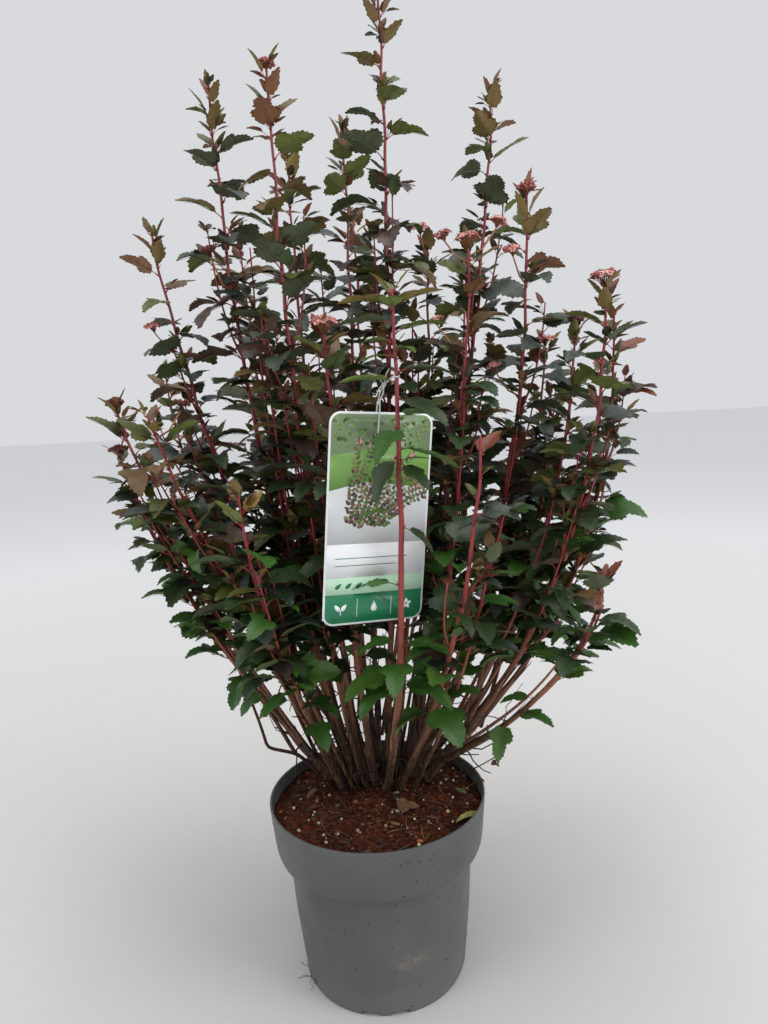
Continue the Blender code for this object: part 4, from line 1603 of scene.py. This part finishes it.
# %% [markdown]
# The plastic has a dull bloom and faint scuffs, dust gathers at its foot, and a smear of dried mix
# shows on its front. Noise makes the first two, height the third, and distance from a place the
# fourth.

# %% The pot's finish and its turned body
def pot_finish():
    """Grey plastic with a dull bloom, faint scuffs, dust at the foot and a tan smear of mix."""
    grey = (0.080, 0.086, 0.086)
    finish = Finish("grey pot plastic", grey, 0.5)
    dull, bright = (0.068, 0.073, 0.072), (0.096, 0.102, 0.101)
    bloom = finish.ramp(finish.noise(9.0, 4.0), ((0.35, dull), (0.65, bright)))
    scratches = finish.noise(60.0, 5.0, (1.0, 1.0, 0.22), 0.7)
    scuffs = finish.ramp(scratches, ((0.62, (0, 0, 0)), (0.74, (1, 1, 1))))
    scuffed = finish.mix(finish.mix(0.22, (0, 0, 0), scuffs), bloom, (0.21, 0.215, 0.21))
    split = finish.add("ShaderNodeSeparateXYZ")
    finish.join(finish.coordinates(), split.inputs[0])
    dust = finish.span(split.outputs["Z"], 0.0, 0.035, 0.30, 0.0)
    dusty = finish.mix(dust, scuffed, (0.20, 0.185, 0.165))
    finish.colour(smeared(finish, dusty))
    finish.roughness(finish.span(finish.noise(30.0, 3.0), 0.3, 0.7, 0.40, 0.58))
    finish.bump(finish.noise(240.0, 3.0), 0.00012, 0.6)
    return finish.material


SMEAR_PLACE = (0.025, -0.080, 0.059)
SMEAR_SIZE = (0.020, 0.020, 0.010)


def smeared(finish, below):
    """A dry tan smear, strongest at its middle and broken up by noise."""
    shift = finish.add("ShaderNodeVectorMath", operation="SUBTRACT")
    finish.join(finish.coordinates(), shift.inputs[0])
    shift.inputs[1].default_value = SMEAR_PLACE
    squash = finish.add("ShaderNodeVectorMath", operation="DIVIDE")
    finish.join(shift.outputs[0], squash.inputs[0])
    squash.inputs[1].default_value = SMEAR_SIZE
    far = finish.add("ShaderNodeVectorMath", operation="LENGTH")
    finish.join(squash.outputs[0], far.inputs[0])
    near = finish.span(far.outputs["Value"], 0.2, 1.1, 0.55, 0.0)
    broken = finish.ramp(finish.noise(140.0, 4.0), ((0.38, (0, 0, 0)), (0.62, (1, 1, 1))))
    share = finish.mix(1.0, finish.mix(near, (0, 0, 0), (1, 1, 1)), broken, "MULTIPLY")
    return finish.mix(share, below, (0.26, 0.19, 0.125))


pot_heap = Heap()
rim = [(RIM_RADIUS, RIM_HEIGHT), (RIM_RADIUS - WALL, RIM_HEIGHT)]
outline = softened([*POT_FACE, *rim, *reversed(inside_face(WALL))], EDGE_ROUNDING)
add_body(pot_heap, turned(outline, POT_SIDES), (0.0, 0.0, outline[0][1]), (0.0, 0.0, outline[-1][1]))
pot = join("grey_pot", pot_heap, [pot_finish()], ["pot"])

# %% [markdown]
# Each notch is a low opening at the foot. Blender's Boolean modifier cuts it, as a cutter would.

# %% Notches in the pot's foot
NOTCH_PAIRS = 3
NOTCH_SIZE = (0.024, 0.018, 0.010)
NOTCH_SPACING = 0.027


def notch_cutter():
    corners = [(x, y, z) for x in (-0.5, 0.5) for y in (-0.5, 0.5) for z in (-0.5, 0.5)]
    faces = [(0, 1, 3, 2), (4, 6, 7, 5), (0, 4, 5, 1), (2, 3, 7, 6), (0, 2, 6, 4), (1, 5, 7, 3)]
    points = []
    boxes = []
    for pair in range(NOTCH_PAIRS):
        turn = Matrix.Rotation(math.tau * pair / NOTCH_PAIRS - math.pi / 2, 4, "Z")
        for side in (-0.5, 0.5):
            move = Matrix.Translation((POT_FACE[0][0], side * NOTCH_SPACING, 0.0))
            size = Matrix.Diagonal((*NOTCH_SIZE, 1.0))
            boxes += [tuple(len(points) + corner for corner in face) for face in faces]
            points += [turn @ move @ size @ Vector(corner) for corner in corners]
    mesh = bpy.data.meshes.new("notch cutter")
    mesh.from_pydata(points, [], boxes)
    made = bpy.data.objects.new("notch cutter", mesh)
    bpy.context.scene.collection.objects.link(made)
    return made


def cut_notches(piece):
    cutter = notch_cutter()
    cut = piece.modifiers.new("notches", "BOOLEAN")
    cut.operation = "DIFFERENCE"
    cut.object = cutter
    bpy.context.view_layer.update()
    whole = piece.evaluated_get(bpy.context.evaluated_depsgraph_get())
    mesh = bpy.data.meshes.new_from_object(whole)
    piece.modifiers.clear()
    piece.data = mesh
    mesh.shade_smooth()
    mesh.set_sharp_from_angle(angle=math.radians(35.0))
    bpy.data.objects.remove(cutter)


cut_notches(pot)
print("pot", round(RIM_RADIUS * 2000), "mm across, with", NOTCH_PAIRS * 2, "notches")

# %% [markdown]
# ## The potting mix
# The pot is full of moist red-brown peat and bark. Its surface is a disc of small lumps, modelled
# with several sizes of noise, a little higher round the stems and lower at the wall. Below it the
# root ball fills the pot, so the piece is closed and has the pot's inner shape.

# %% The potting mix
MIX_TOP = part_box("potting_mix")[1][2]
MIX_RINGS = 64
MIX_SIDES = 160
MIX_CLEAR = WALL + 0.0004
MIX_SINK = 0.0030
# Each size of lump: how many to the metre, and how high
MIX_LUMPS = ((38.0, 0.0024), (110.0, 0.0024), (300.0, 0.0014))
CLUMP = (0.0, 0.050)
MOUND_HEIGHT = 0.0018
MOUND_REACH = 0.045


def mix_height(x, y):
    """The surface of the mix: lumps of three sizes, and a low mound round the stems."""
    lumps = sum(noise.noise(Vector((x, y, 0.0)) * scale) * height for scale, height in MIX_LUMPS)
    mound = MOUND_HEIGHT * math.exp(-((x - CLUMP[0]) ** 2 + (y - CLUMP[1]) ** 2) / MOUND_REACH ** 2)
    return MIX_TOP - MIX_SINK + lumps + mound


def add_mix(heap):
    wall = inside_face(MIX_CLEAR)
    edge = np.interp(MIX_TOP - 0.004, (wall[-1][1], RIM_HEIGHT), (wall[-1][0], RIM_RADIUS - MIX_CLEAR))
    radii = [edge * (1.0 - ring / MIX_RINGS) for ring in range(MIX_RINGS)]
    outline = [(0.0005, wall[0][1]), *wall, *[(radius, MIX_TOP) for radius in radii]]
    rings = turned(outline, MIX_SIDES)
    for ring in rings[1 + len(wall):]:
        ring[:, 2] = [mix_height(x, y) for x, y, _ in ring]
    add_body(heap, rings, (0.0, 0.0, outline[0][1]), (0.0, 0.0, mix_height(0.0, 0.0)))


def mix_finish():
    finish = Finish("moist potting mix", (0.045, 0.012, 0.006), 0.9, Specular_IOR_Level=0.2)
    earth = finish.ramp(finish.noise(210.0, 6.0, (1.0, 1.0, 1.0), 0.7), (
        (0.34, (0.010, 0.002, 0.001)), (0.46, (0.055, 0.010, 0.003)),
        (0.58, (0.150, 0.034, 0.010)), (0.74, (0.260, 0.090, 0.036))))
    patches = finish.ramp(finish.noise(22.0, 3.0), ((0.38, (0.5, 0.45, 0.42)), (0.62, (1.0, 1.0, 1.0))))
    finish.colour(finish.mix(1.0, earth, patches, "MULTIPLY"))
    finish.roughness(finish.span(finish.noise(120.0, 2.0), 0.3, 0.7, 0.70, 1.0))
    finish.bump(finish.noise(420.0, 5.0, (1.0, 1.0, 1.0), 0.7), 0.0022, 0.9)
    return finish.material


mix_heap = Heap()
add_mix(mix_heap)
join("potting_mix_surface", mix_heap, [mix_finish()], ["potting_mix"])

# %% [markdown]
# Lying on the mix are chips of bark, fibres, pale grains of fertiliser and a few fallen leaves. The
# chips are lumpy flattened balls, the fibres thin bent tubes and the grains small balls. Each is
# dropped at a random place and set on the mix at the height it has there.

# %% Chips, fibres and grains
CHIPS = 620
FIBRES = 210
GRAINS = 85
MIX_REACH = 0.0985
chip_heap = Heap()
grain_heap = Heap()


def on_mix(dice, reach=MIX_REACH):
    """A random place on the mix, even over its area."""
    far = reach * math.sqrt(dice.random())
    turn = dice.uniform(0.0, math.tau)
    x, y = far * math.cos(turn), far * math.sin(turn)
    return np.array((x, y, mix_height(x, y)))


def add_chips():
    dice = random.Random("chips")
    for _ in range(CHIPS):
        place = on_mix(dice)
        long = dice.uniform(0.0010, 0.0034) * (1.8 if dice.random() < 0.08 else 1.0)
        lumps = 1.0 + np.array([dice.uniform(-0.3, 0.3) for _ in range(len(BALL_POINTS))])
        wide = long * dice.uniform(0.3, 0.8)
        thick = long * dice.uniform(0.15, 0.4)
        shape = BALL_POINTS * lumps[:, None] * (long, wide, thick)
        lean = (dice.uniform(-0.5, 0.5), dice.uniform(-0.5, 0.5), 1.0)
        points = turned_to(shape, lean, dice.uniform(0.0, 6.3)) + place
        chip_heap.add(points, BALL_FACES, dice.choice((0, 0, 1, 1, 2, 3)))


def add_fibres():
    dice = random.Random("fibres")
    for _ in range(FIBRES):
        place = on_mix(dice, MIX_REACH - 0.008) + UP * 0.0008
        way = heading(dice.uniform(0.0, math.tau), dice.uniform(-0.05, 0.22))
        path = crooked(dice, place, way, dice.uniform(0.006, 0.022), 4, 0.16)
        path[:, 2] = [max(z, mix_height(x, y) + 0.0003) for x, y, z in path]
        add_tubes(chip_heap, [path], [np.full(5, dice.uniform(0.0002, 0.0006))], [np.cross(way, UP)], 4,
                  dice.choice((0, 1, 1, 2, 3)))


def add_grains():
    dice = random.Random("grains")
    for _ in range(GRAINS):
        place = on_mix(dice)
        if place[1] > 0.02 and dice.random() < 0.6:
            continue
        size = dice.uniform(0.0009, 0.0019)
        place[2] += size * 0.5
        points = BALL_POINTS * size * (1.0, 1.0, 0.9) + place
        grain_heap.add(points, BALL_FACES, dice.choice((0, 0, 0, 1, 2)))
    size = 0.0026
    pellet = np.array((0.0393, -0.0721, 0.0))
    pellet[2] = mix_height(pellet[0], pellet[1]) + size * 0.5
    grain_heap.add(BALL_POINTS * (size * 1.3, size, size * 0.7) + pellet, BALL_FACES, 3)


add_chips()
add_fibres()
add_grains()
join("bark_chips_and_fibres", chip_heap, [
    litter_finish("dark chip", (0.022, 0.010, 0.007)),
    litter_finish("red-brown chip", (0.085, 0.026, 0.012)),
    litter_finish("brown chip", (0.120, 0.060, 0.030)),
    litter_finish("tan fibre", (0.24, 0.120, 0.050)),
    litter_finish("pale fibre", (0.38, 0.27, 0.16)),
])
join("fertiliser_grains", grain_heap, [
    litter_finish("cream grain", (0.66, 0.58, 0.33), 0.5),
    litter_finish("green grain", (0.36, 0.42, 0.22), 0.5),
    litter_finish("white grain", (0.70, 0.68, 0.62), 0.5),
    litter_finish("orange pellet", (0.45, 0.13, 0.055), 0.6),
])

# %% [markdown]
# ## Fallen leaves
# A brown leaf and a yellow one lie on the mix, a scrap of green beside them, and the dead twig
# carries a curled brown leaf. They are the same flat leaf, bent more and laid down.

# %% Fallen leaves
def fallen(heap, place, azimuth, tilt, length, bend, finish, design="young"):
    """One fallen leaf on the mix, or hanging where its place is above it."""
    ahead, up = frame_of(math.radians(azimuth), math.radians(tilt), 0.2)
    order = (np.array(place), ahead, ahead, up, length, 0.002, design, 0, bend, "left")
    leaves = Leaves([order], int(length * 100000))
    blade = BLADES[design]
    x, y, rise = blade.points.T
    top, rising = leaves.lay(x, y, rise)
    thick = np.where(blade.inside, LEAF_THICKNESS, 0.0)
    heap.add(top, blade.faces, finish)
    heap.add(top - rising * thick[None, :, None], blade.faces[:, ::-1], finish)


fallen_heap = Heap()
fallen(fallen_heap, (0.018, -0.018, MIX_TOP + 0.001), 5, 4, 0.022, 0.5, 0, "full")
fallen(fallen_heap, (0.096, -0.038, MIX_TOP + 0.003), 192, 3, 0.024, 0.7, 1)
fallen(fallen_heap, (0.088, -0.004, MIX_TOP + 0.002), 130, 12, 0.015, 0.5, 2)
fallen(fallen_heap, (0.118, 0.014, 0.204), 250, -65, 0.014, 2.6, 3)
fallen(fallen_heap, (0.1005, 0.010, MIX_TOP + 0.010), 330, 12, 0.007, 1.8, 3, "bud")
fallen(fallen_heap, (-0.060, 0.020, MIX_TOP + 0.001), 220, 5, 0.016, 0.9, 0)
join("fallen_leaves", fallen_heap, [
    litter_finish("brown fallen leaf", (0.19, 0.095, 0.038)),
    litter_finish("yellow fallen leaf", (0.46, 0.42, 0.12)),
    litter_finish("faded green leaf", (0.12, 0.14, 0.030)),
    litter_finish("curled brown leaf", (0.16, 0.062, 0.040)),
])

# %% [markdown]
# ## Specks on the pot
# Crumbs of mix cling to the outside of the pot, most of them under the rim and on the right, and a
# few fine roots show at the foot on the left.

# %% Specks and roots
SPECKS = 90
FINE_ROOTS = 9


def face_radius(height):
    rows = np.array([*POT_FACE, (RIM_RADIUS, RIM_HEIGHT)])
    return float(np.interp(height, rows[:, 1], rows[:, 0]))


def add_specks(heap):
    dice = random.Random("specks")
    for _ in range(SPECKS):
        height = dice.uniform(0.006, 0.18)
        turn = dice.gauss(-0.9, 1.1)
        size = dice.uniform(0.0002, 0.0007)
        out = heading(turn, 0.0)
        place = out * (face_radius(height) + size * 0.15) + UP * height
        crumb = turned_to(BALL_POINTS * (size, size * 1.3, size * 0.5), out, dice.uniform(0, 6))
        heap.add(crumb + place, BALL_FACES)
    for _ in range(FINE_ROOTS):
        turn = math.radians(-156.0 + dice.gauss(0.0, 7.0))
        height = dice.uniform(0.002, 0.008)
        start = heading(turn, 0.0) * (face_radius(height) + 0.0003) + UP * height
        way = heading(turn + dice.choice((-1.3, 1.3)), dice.uniform(-0.2, 0.3))
        path = crooked(dice, start, way, dice.uniform(0.008, 0.02), 5, 0.25)
        flat = np.linalg.norm(path[:, :2], axis=1, keepdims=True)
        path[:, :2] *= np.maximum(flat, face_radius(height) + 0.0004) / flat
        path[:, 2] = np.maximum(path[:, 2], 0.0006)
        add_tubes(heap, [path], [np.full(6, 0.00022)], [heading(turn, 0.0)], 3, 0)


speck_heap = Heap()
add_specks(speck_heap)
join("specks_and_roots", speck_heap, [litter_finish("dark crumb", (0.020, 0.012, 0.009))])

# %% [markdown]
# ## The plant label
# The label is a thin plastic card with round corners and a punched hole. Its print is kept
# generic: a picture with arching leafy stems over a lawn, a plain white band, a pale green band and
# a dark green band with three simple signs. Each printed shape is a thin layer on the card, which
# keeps its edges crisp from any distance.

# %% The label's card
CARD_HALF = (card_half[0], card_half[1])
CARD_THICKNESS = 0.0006
CARD_CORNER = 0.009
CARD_HOLE = (-0.0045, 0.064)
HOLE_RADIUS = 0.0030
INK = 0.00009


def on_card(across, rise, layer):
    """A place on the card's front, raised by some layers of ink."""
    ahead = CARD_THICKNESS / 2 + INK * layer
    return card_centre + card_right * across + card_up * rise + card_out * ahead


def rounded_box(left, right, low, high, corner, steps=6):
    points = []
    for x, y, start in ((right - corner, high - corner, 0), (left + corner, high - corner, 1),
                        (left + corner, low + corner, 2), (right - corner, low + corner, 3)):
        for step in range(steps + 1):
            turn = (start + step / steps) * math.pi / 2
            points.append((x + corner * math.cos(turn), y + corner * math.sin(turn)))
    return points


def fill(outline, hole=None):
    """Triangles of a flat outline, with an optional hole."""
    points = [Vector(point) for point in outline]
    loop = list(range(len(points)))
    links = list(zip(loop, loop[1:] + loop[:1]))
    if hole:
        start = len(points)
        points += [Vector(point) for point in hole]
        ring = list(range(start, len(points)))
        links += list(zip(ring, ring[1:] + ring[:1]))
    found = geometry.delaunay_2d_cdt(points, links, [], 1, 1e-7, True)
    flat = np.array([(v.x, v.y) for v in found[0]])
    faces = np.array(found[2]).reshape(-1, 3).astype(int)
    faces = faces[within(outline, flat[faces].mean(1))]
    if hole:
        off_hole = flat[faces].mean(1) - CARD_HOLE
        faces = faces[np.linalg.norm(off_hole, axis=1) > HOLE_RADIUS]
    a, b, c = (flat[faces[:, corner]] for corner in range(3))
    turned_back = (b - a)[:, 0] * (c - a)[:, 1] - (b - a)[:, 1] * (c - a)[:, 0] < 0
    faces[turned_back] = faces[turned_back][:, ::-1]
    return flat, faces


def add_plate(heap, outline, low, high, finish, hole=None):
    """A flat plate on the card between two layers of ink, closed all round."""
    flat, faces = fill(outline, hole)
    if not len(faces):
        return
    top = np.array([on_card(x, y, high) for x, y in flat])
    bottom = np.array([on_card(x, y, low) for x, y in flat])
    count = len(flat)
    sides = np.concatenate((faces[:, :2], faces[:, 1:], faces[:, [2, 0]]))
    pairs, index, counts = np.unique(np.sort(sides, axis=1), axis=0, return_index=True, return_counts=True)
    rim_edges = sides[index[counts == 1]]
    walls = np.concatenate((
        np.stack((rim_edges[:, 1], rim_edges[:, 0], rim_edges[:, 0] + count), axis=1),
        np.stack((rim_edges[:, 1], rim_edges[:, 0] + count, rim_edges[:, 1] + count), axis=1)))
    faces = np.concatenate((faces, faces[:, ::-1] + count, walls))
    heap.add(np.concatenate((top, bottom)), faces, finish, np.tile(flat, (2, 1)))


label_heap = Heap()
card_outline = rounded_box(-CARD_HALF[0], CARD_HALF[0], -CARD_HALF[1], CARD_HALF[1], CARD_CORNER)
hole = [(CARD_HOLE[0] + HOLE_RADIUS * math.cos(t), CARD_HOLE[1] + HOLE_RADIUS * math.sin(t))
        for t in (math.tau * step / 20 for step in range(20))]
add_plate(label_heap, card_outline, -CARD_THICKNESS / INK, 0.0, 0, hole)
print("card", round(CARD_HALF[0] * 2000), "by", round(CARD_HALF[1] * 2000), "mm")

# %% [markdown]
# The printed areas are worked out as shares of the card, so that they keep their layout if the card
# changes size. Leaves in the picture are small pointed ovals along a few curved stems.

# %% The label's print
PRINT_MARGIN = 0.0016
PICTURE_LOW = -0.22
BAND_LOWS = (-0.54, -0.70, -1.0)
# The signs lie between these layers of ink, and the outer two stand this far out from the middle
SIGN_LAYERS = (1.0, 1.5)
SIGN_SHARE = 0.66


def card_y(share):
    return share * CARD_HALF[1]


def square(left, right, low, high):
    """The corners of an upright oblong."""
    return [(left, low), (right, low), (right, high), (left, high)]


def band(low, high, margin=PRINT_MARGIN):
    """A printed band across the card between two shares of its height."""
    left, right = -CARD_HALF[0] + margin, CARD_HALF[0] - margin
    if low <= -1.0:
        rounded = rounded_box(left, right, card_y(-1.0) + margin, card_y(high), CARD_CORNER - margin)
        return rounded[14:] + [(right, card_y(high)), (left, card_y(high))]
    return square(left, right, card_y(low), card_y(high))


def oval(x, y, long, wide, turn):
    """A small pointed leaf shape."""
    shape = []
    ahead, side = math.cos(turn), math.sin(turn)
    for step in range(8):
        angle = math.tau * step / 8
        u = math.cos(angle) * long / 2
        v = math.sin(angle) * wide / 2 * (1.0 - 0.35 * math.cos(angle))
        shape.append((x + u * ahead - v * side, y + u * side + v * ahead))
    return shape


def disc(x, y, radius, count=16):
    return [(x + radius * math.cos(math.tau * k / count), y + radius * math.sin(math.tau * k / count))
            for k in range(count)]


def clipped(shape, low):
    """Keeps a printed shape inside the picture."""
    right = CARD_HALF[0] - PRINT_MARGIN
    high = CARD_HALF[1] - PRINT_MARGIN
    return [(min(max(x, -right), right), min(max(y, low), high)) for x, y in shape]


def print_picture(heap):
    """Hedge, lawn, paving, and arching stems with leaves and pink flower heads."""
    dice = random.Random("label picture")
    low = card_y(PICTURE_LOW)
    top = rounded_box(-CARD_HALF[0] + PRINT_MARGIN, CARD_HALF[0] - PRINT_MARGIN, low,
                      CARD_HALF[1] - PRINT_MARGIN, CARD_CORNER - PRINT_MARGIN)
    picture = [point for point in top if point[1] > low + CARD_CORNER]
    picture += [(-CARD_HALF[0] + PRINT_MARGIN, low), (CARD_HALF[0] - PRINT_MARGIN, low)]
    picture.sort(key=lambda point: math.atan2(point[1] - 0.02, point[0]))
    add_plate(heap, picture, 0.0, 1.0, 1, hole)
    edge = CARD_HALF[0] - PRINT_MARGIN
    lawn = [(-edge, card_y(0.28)), (-0.3 * edge, card_y(0.36)), (edge, card_y(0.30)), (edge, card_y(0.66)),
            (0.2 * edge, card_y(0.70)), (-edge, card_y(0.60))]
    add_plate(heap, lawn, 1.0, 1.6, 2)
    paving = [(-edge, low), (edge, low), (edge, card_y(0.30)), (-0.3 * edge, card_y(0.36)),
              (-edge, card_y(0.28))]
    add_plate(heap, paving, 1.0, 1.6, 3)
    for _ in range(90):
        x = dice.uniform(-0.95, 0.95) * edge
        y = card_y(dice.uniform(0.68, 0.96))
        if math.hypot(x - CARD_HOLE[0], y - CARD_HOLE[1]) > 0.007:
            leaf = clipped(oval(x, y, 0.004, 0.002, dice.uniform(0, 3)), low)
            add_plate(heap, leaf, 1.0, 1.9, dice.choice((4, 5, 2)))
    for stem in range(9):
        root = (-0.62 * edge + stem * 0.0028, low + 0.002)
        lean = 0.12 + stem * 0.15
        long = card_y(0.92) * dice.uniform(0.80, 1.05)
        steps = 22
        spot = root
        for step in range(steps):
            share = step / steps
            turn = math.pi / 2 - lean * (0.3 + share)
            spot = (spot[0] + math.cos(turn) * long / steps, spot[1] + math.sin(turn) * long / steps)
            if step < 3:
                continue
            for side in (-1, 1):
                way = turn + side * dice.uniform(0.5, 1.2)
                size = dice.uniform(0.0038, 0.0062) * (1.1 - 0.4 * share)
                x = spot[0] + math.cos(way) * size * 0.6
                y = spot[1] + math.sin(way) * size * 0.6
                tone = dice.choice((4, 5, 6, 6, 7, 7, 4))
                leaf = clipped(oval(x, y, size, size * 0.55, way), low)
                add_plate(heap, leaf, 1.6, 2.2 + 0.25 * (step % 5), tone)
        for _ in range(7):
            flower = disc(spot[0] + dice.gauss(0, 0.0016), spot[1] + dice.gauss(0, 0.0012), 0.0008, 8)
            add_plate(heap, clipped(flower, low), 1.6, 3.8, 8)


# %% [markdown]
# Below the picture come the bands. Thin rules stand where a caption would be, and simple signs are
# cut from ovals, oblongs and a drop.

# %% The bands and the finished card
def print_bands(heap):
    """A white band with two thin rules, a pale band with small leaves, a dark band with three signs."""
    white, pale, dark = BAND_LOWS
    add_plate(heap, band(white, PICTURE_LOW), 0.0, 1.0, 0)
    wide = CARD_HALF[0]
    for share, reach in ((-0.36, 0.62), (-0.43, 0.40)):
        y = card_y(share)
        add_plate(heap, square(-0.8 * wide, reach * wide, y, y + 0.0006), *SIGN_LAYERS, 10)
    add_plate(heap, band(pale, white), 0.0, 1.0, 9)
    for number in range(3):
        x = (-0.72 + number * 0.20) * wide
        add_plate(heap, oval(x, card_y((pale + white) / 2), 0.0065, 0.0032, 0.7), *SIGN_LAYERS, 10)
    add_plate(heap, band(dark, pale), 0.0, 1.0, 10)
    y = card_y((dark + pale) / 2 + 0.01)
    for number in (-1, 1):
        x = number * wide * 0.34
        add_plate(heap, square(x, x + 0.0004, y - 0.0075, y + 0.0075), *SIGN_LAYERS, 0)
    x = -wide * SIGN_SHARE
    for side in (-1, 1):
        leaf = oval(x + side * 0.0028, y + 0.0008, 0.0066, 0.0034, math.pi / 2 - side * 0.7)
        add_plate(heap, leaf, *SIGN_LAYERS, 0)
    add_plate(heap, square(x - 0.0003, x + 0.0003, y - 0.0055, y - 0.001), *SIGN_LAYERS, 0)
    drop = [(0.0026 * math.cos(t), 0.0026 * math.sin(t) - 0.0012) for t in np.linspace(-3.55, 0.41, 12)]
    add_plate(heap, [(px, y + py) for px, py in [*drop, (0.0, 0.0050)]], *SIGN_LAYERS, 0)
    x = wide * SIGN_SHARE
    for number in range(5):
        turn = math.tau * number / 5 + math.pi / 2
        petal = oval(x + 0.0026 * math.cos(turn), y + 0.0026 * math.sin(turn), 0.0040, 0.0026, turn)
        add_plate(heap, petal, *SIGN_LAYERS, 0)


def print_finish(name, colour, roughness=0.32):
    finish = Finish(name, colour, roughness)
    finish.bump(finish.noise(900.0), 0.00002, 0.4)
    return finish.material


print_picture(label_heap)
print_bands(label_heap)
join("label_card", label_heap, [
    print_finish("white card", (0.78, 0.80, 0.81)),
    print_finish("print hedge green", (0.16, 0.23, 0.12)),
    print_finish("print lawn green", (0.16, 0.32, 0.07)),
    print_finish("print paving grey", (0.60, 0.62, 0.63)),
    print_finish("print leaf green", (0.09, 0.15, 0.04)),
    print_finish("print olive", (0.22, 0.24, 0.08)),
    print_finish("print bronze", (0.20, 0.12, 0.07)),
    print_finish("print purple", (0.09, 0.055, 0.055)),
    print_finish("print pink", (0.66, 0.34, 0.33)),
    print_finish("print pale green", (0.46, 0.68, 0.50)),
    print_finish("print dark green", (0.012, 0.17, 0.075)),
], ["label"], smooth=False)

# %% [markdown]
# ## The tie
# White elastic holds the label: a strand comes up from the hole, is knotted, goes on as two strands
# to a second knot, and loops round the front stem. Each strand is a thin tube along a few points
# between the hole and the stem, and a knot is three small turns wound on each other.

# %% The tie
TIE_HEIGHT = 0.583
TIE_RADIUS = 0.00055


def smooth_path(points, steps=6):
    """A flowing path through set points, by Catmull and Rom's rule."""
    points = np.array([points[0], *points, points[-1]], float)
    path = []
    for before, start, end, after in zip(points, points[1:], points[2:], points[3:]):
        for share in np.arange(steps) / steps:
            path.append(0.5 * (2 * start + (end - before) * share
                               + (2 * before - 5 * start + 4 * end - after) * share ** 2
                               + (3 * start - before - 3 * end + after) * share ** 3))
    path.append(points[-1])
    return np.array(path)


def add_string(heap, points, radius=TIE_RADIUS):
    path = smooth_path(points)
    way = unit(path[-1] - path[0] + 1e-5)
    across = unit(np.cross(way, np.array((0.31, 0.9, 0.2))))
    add_tubes(heap, [path], [np.full(len(path), radius)], [across], 6, 0)


def add_knot(heap, place, size):
    for tilt in range(3):
        turns = np.linspace(0.0, math.tau * 1.05, 10) + tilt * 2.1
        lean = heading(tilt * 2.2, 0.5)
        loop = np.stack((np.cos(turns), np.sin(turns), 0.3 * np.sin(turns * 2)), axis=1) * size
        add_string(heap, turned_to(loop, lean, 0.0) + place, TIE_RADIUS * 0.9)


def add_tie(heap):
    stem = shoots["front_centre"]
    far = stem.at_height(TIE_HEIGHT)
    on_stem = stem.place(far)
    ring = stem.thickness(far) + TIE_RADIUS
    hole_at = on_card(*CARD_HOLE, -3.0)
    front = hole_at + card_out * 0.0022 + card_up * 0.002
    over = on_card(CARD_HOLE[0] + 0.001, CARD_HALF[1] + 0.003, 14.0)
    low_knot = over * 0.82 + on_stem * 0.18 - np.array((0.003, 0.0, 0.0))
    high_knot = over * 0.25 + on_stem * 0.75 - np.array((0.006, 0.0, 0.0))
    back = hole_at - card_out * 0.0022 + card_up * 0.002
    behind = on_card(CARD_HOLE[0], CARD_HALF[1] + 0.003, -22.0)
    add_string(heap, (hole_at, front, over, low_knot))
    add_string(heap, (hole_at, back, behind, low_knot))
    bow = np.array((0.0012, -0.0006, 0.0))
    middle = (low_knot + high_knot) / 2
    add_string(heap, (low_knot, middle + bow, high_knot))
    add_string(heap, (low_knot, middle - bow, high_knot))
    add_knot(heap, low_knot, 0.0011)
    add_knot(heap, high_knot, 0.0013)
    turns = math.pi + math.tau * np.arange(9) / 8
    loop = [on_stem + (ring * math.cos(t), ring * math.sin(t), 0.0008 * math.sin(t)) for t in turns]
    add_string(heap, (high_knot, *loop, high_knot))
    for reach in ((-0.011, -0.002, 0.009), (0.0045, -0.004, 0.011), (-0.006, -0.004, -0.008)):
        end = high_knot + np.array(reach)
        add_string(heap, (high_knot, (high_knot + end) / 2 + UP * 0.002, end), TIE_RADIUS * 0.8)


def elastic_finish():
    finish = Finish("white elastic", (0.72, 0.73, 0.72), 0.7)
    wave = finish.add("ShaderNodeTexWave", bands_direction="Z")
    wave.inputs["Scale"].default_value = 700.0
    finish.join(finish.coordinates(), wave.inputs["Vector"])
    finish.bump(wave.outputs["Fac"], 0.0002, 0.7)
    return finish.material


tie_heap = Heap()
add_tie(tie_heap)
join("label_elastic", tie_heap, [elastic_finish()], ["label_tie"])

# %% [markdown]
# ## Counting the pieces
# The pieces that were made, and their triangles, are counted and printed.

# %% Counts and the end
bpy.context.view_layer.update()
print(len(pieces_made), "pieces,", sum(pieces_made.values()), "triangles")
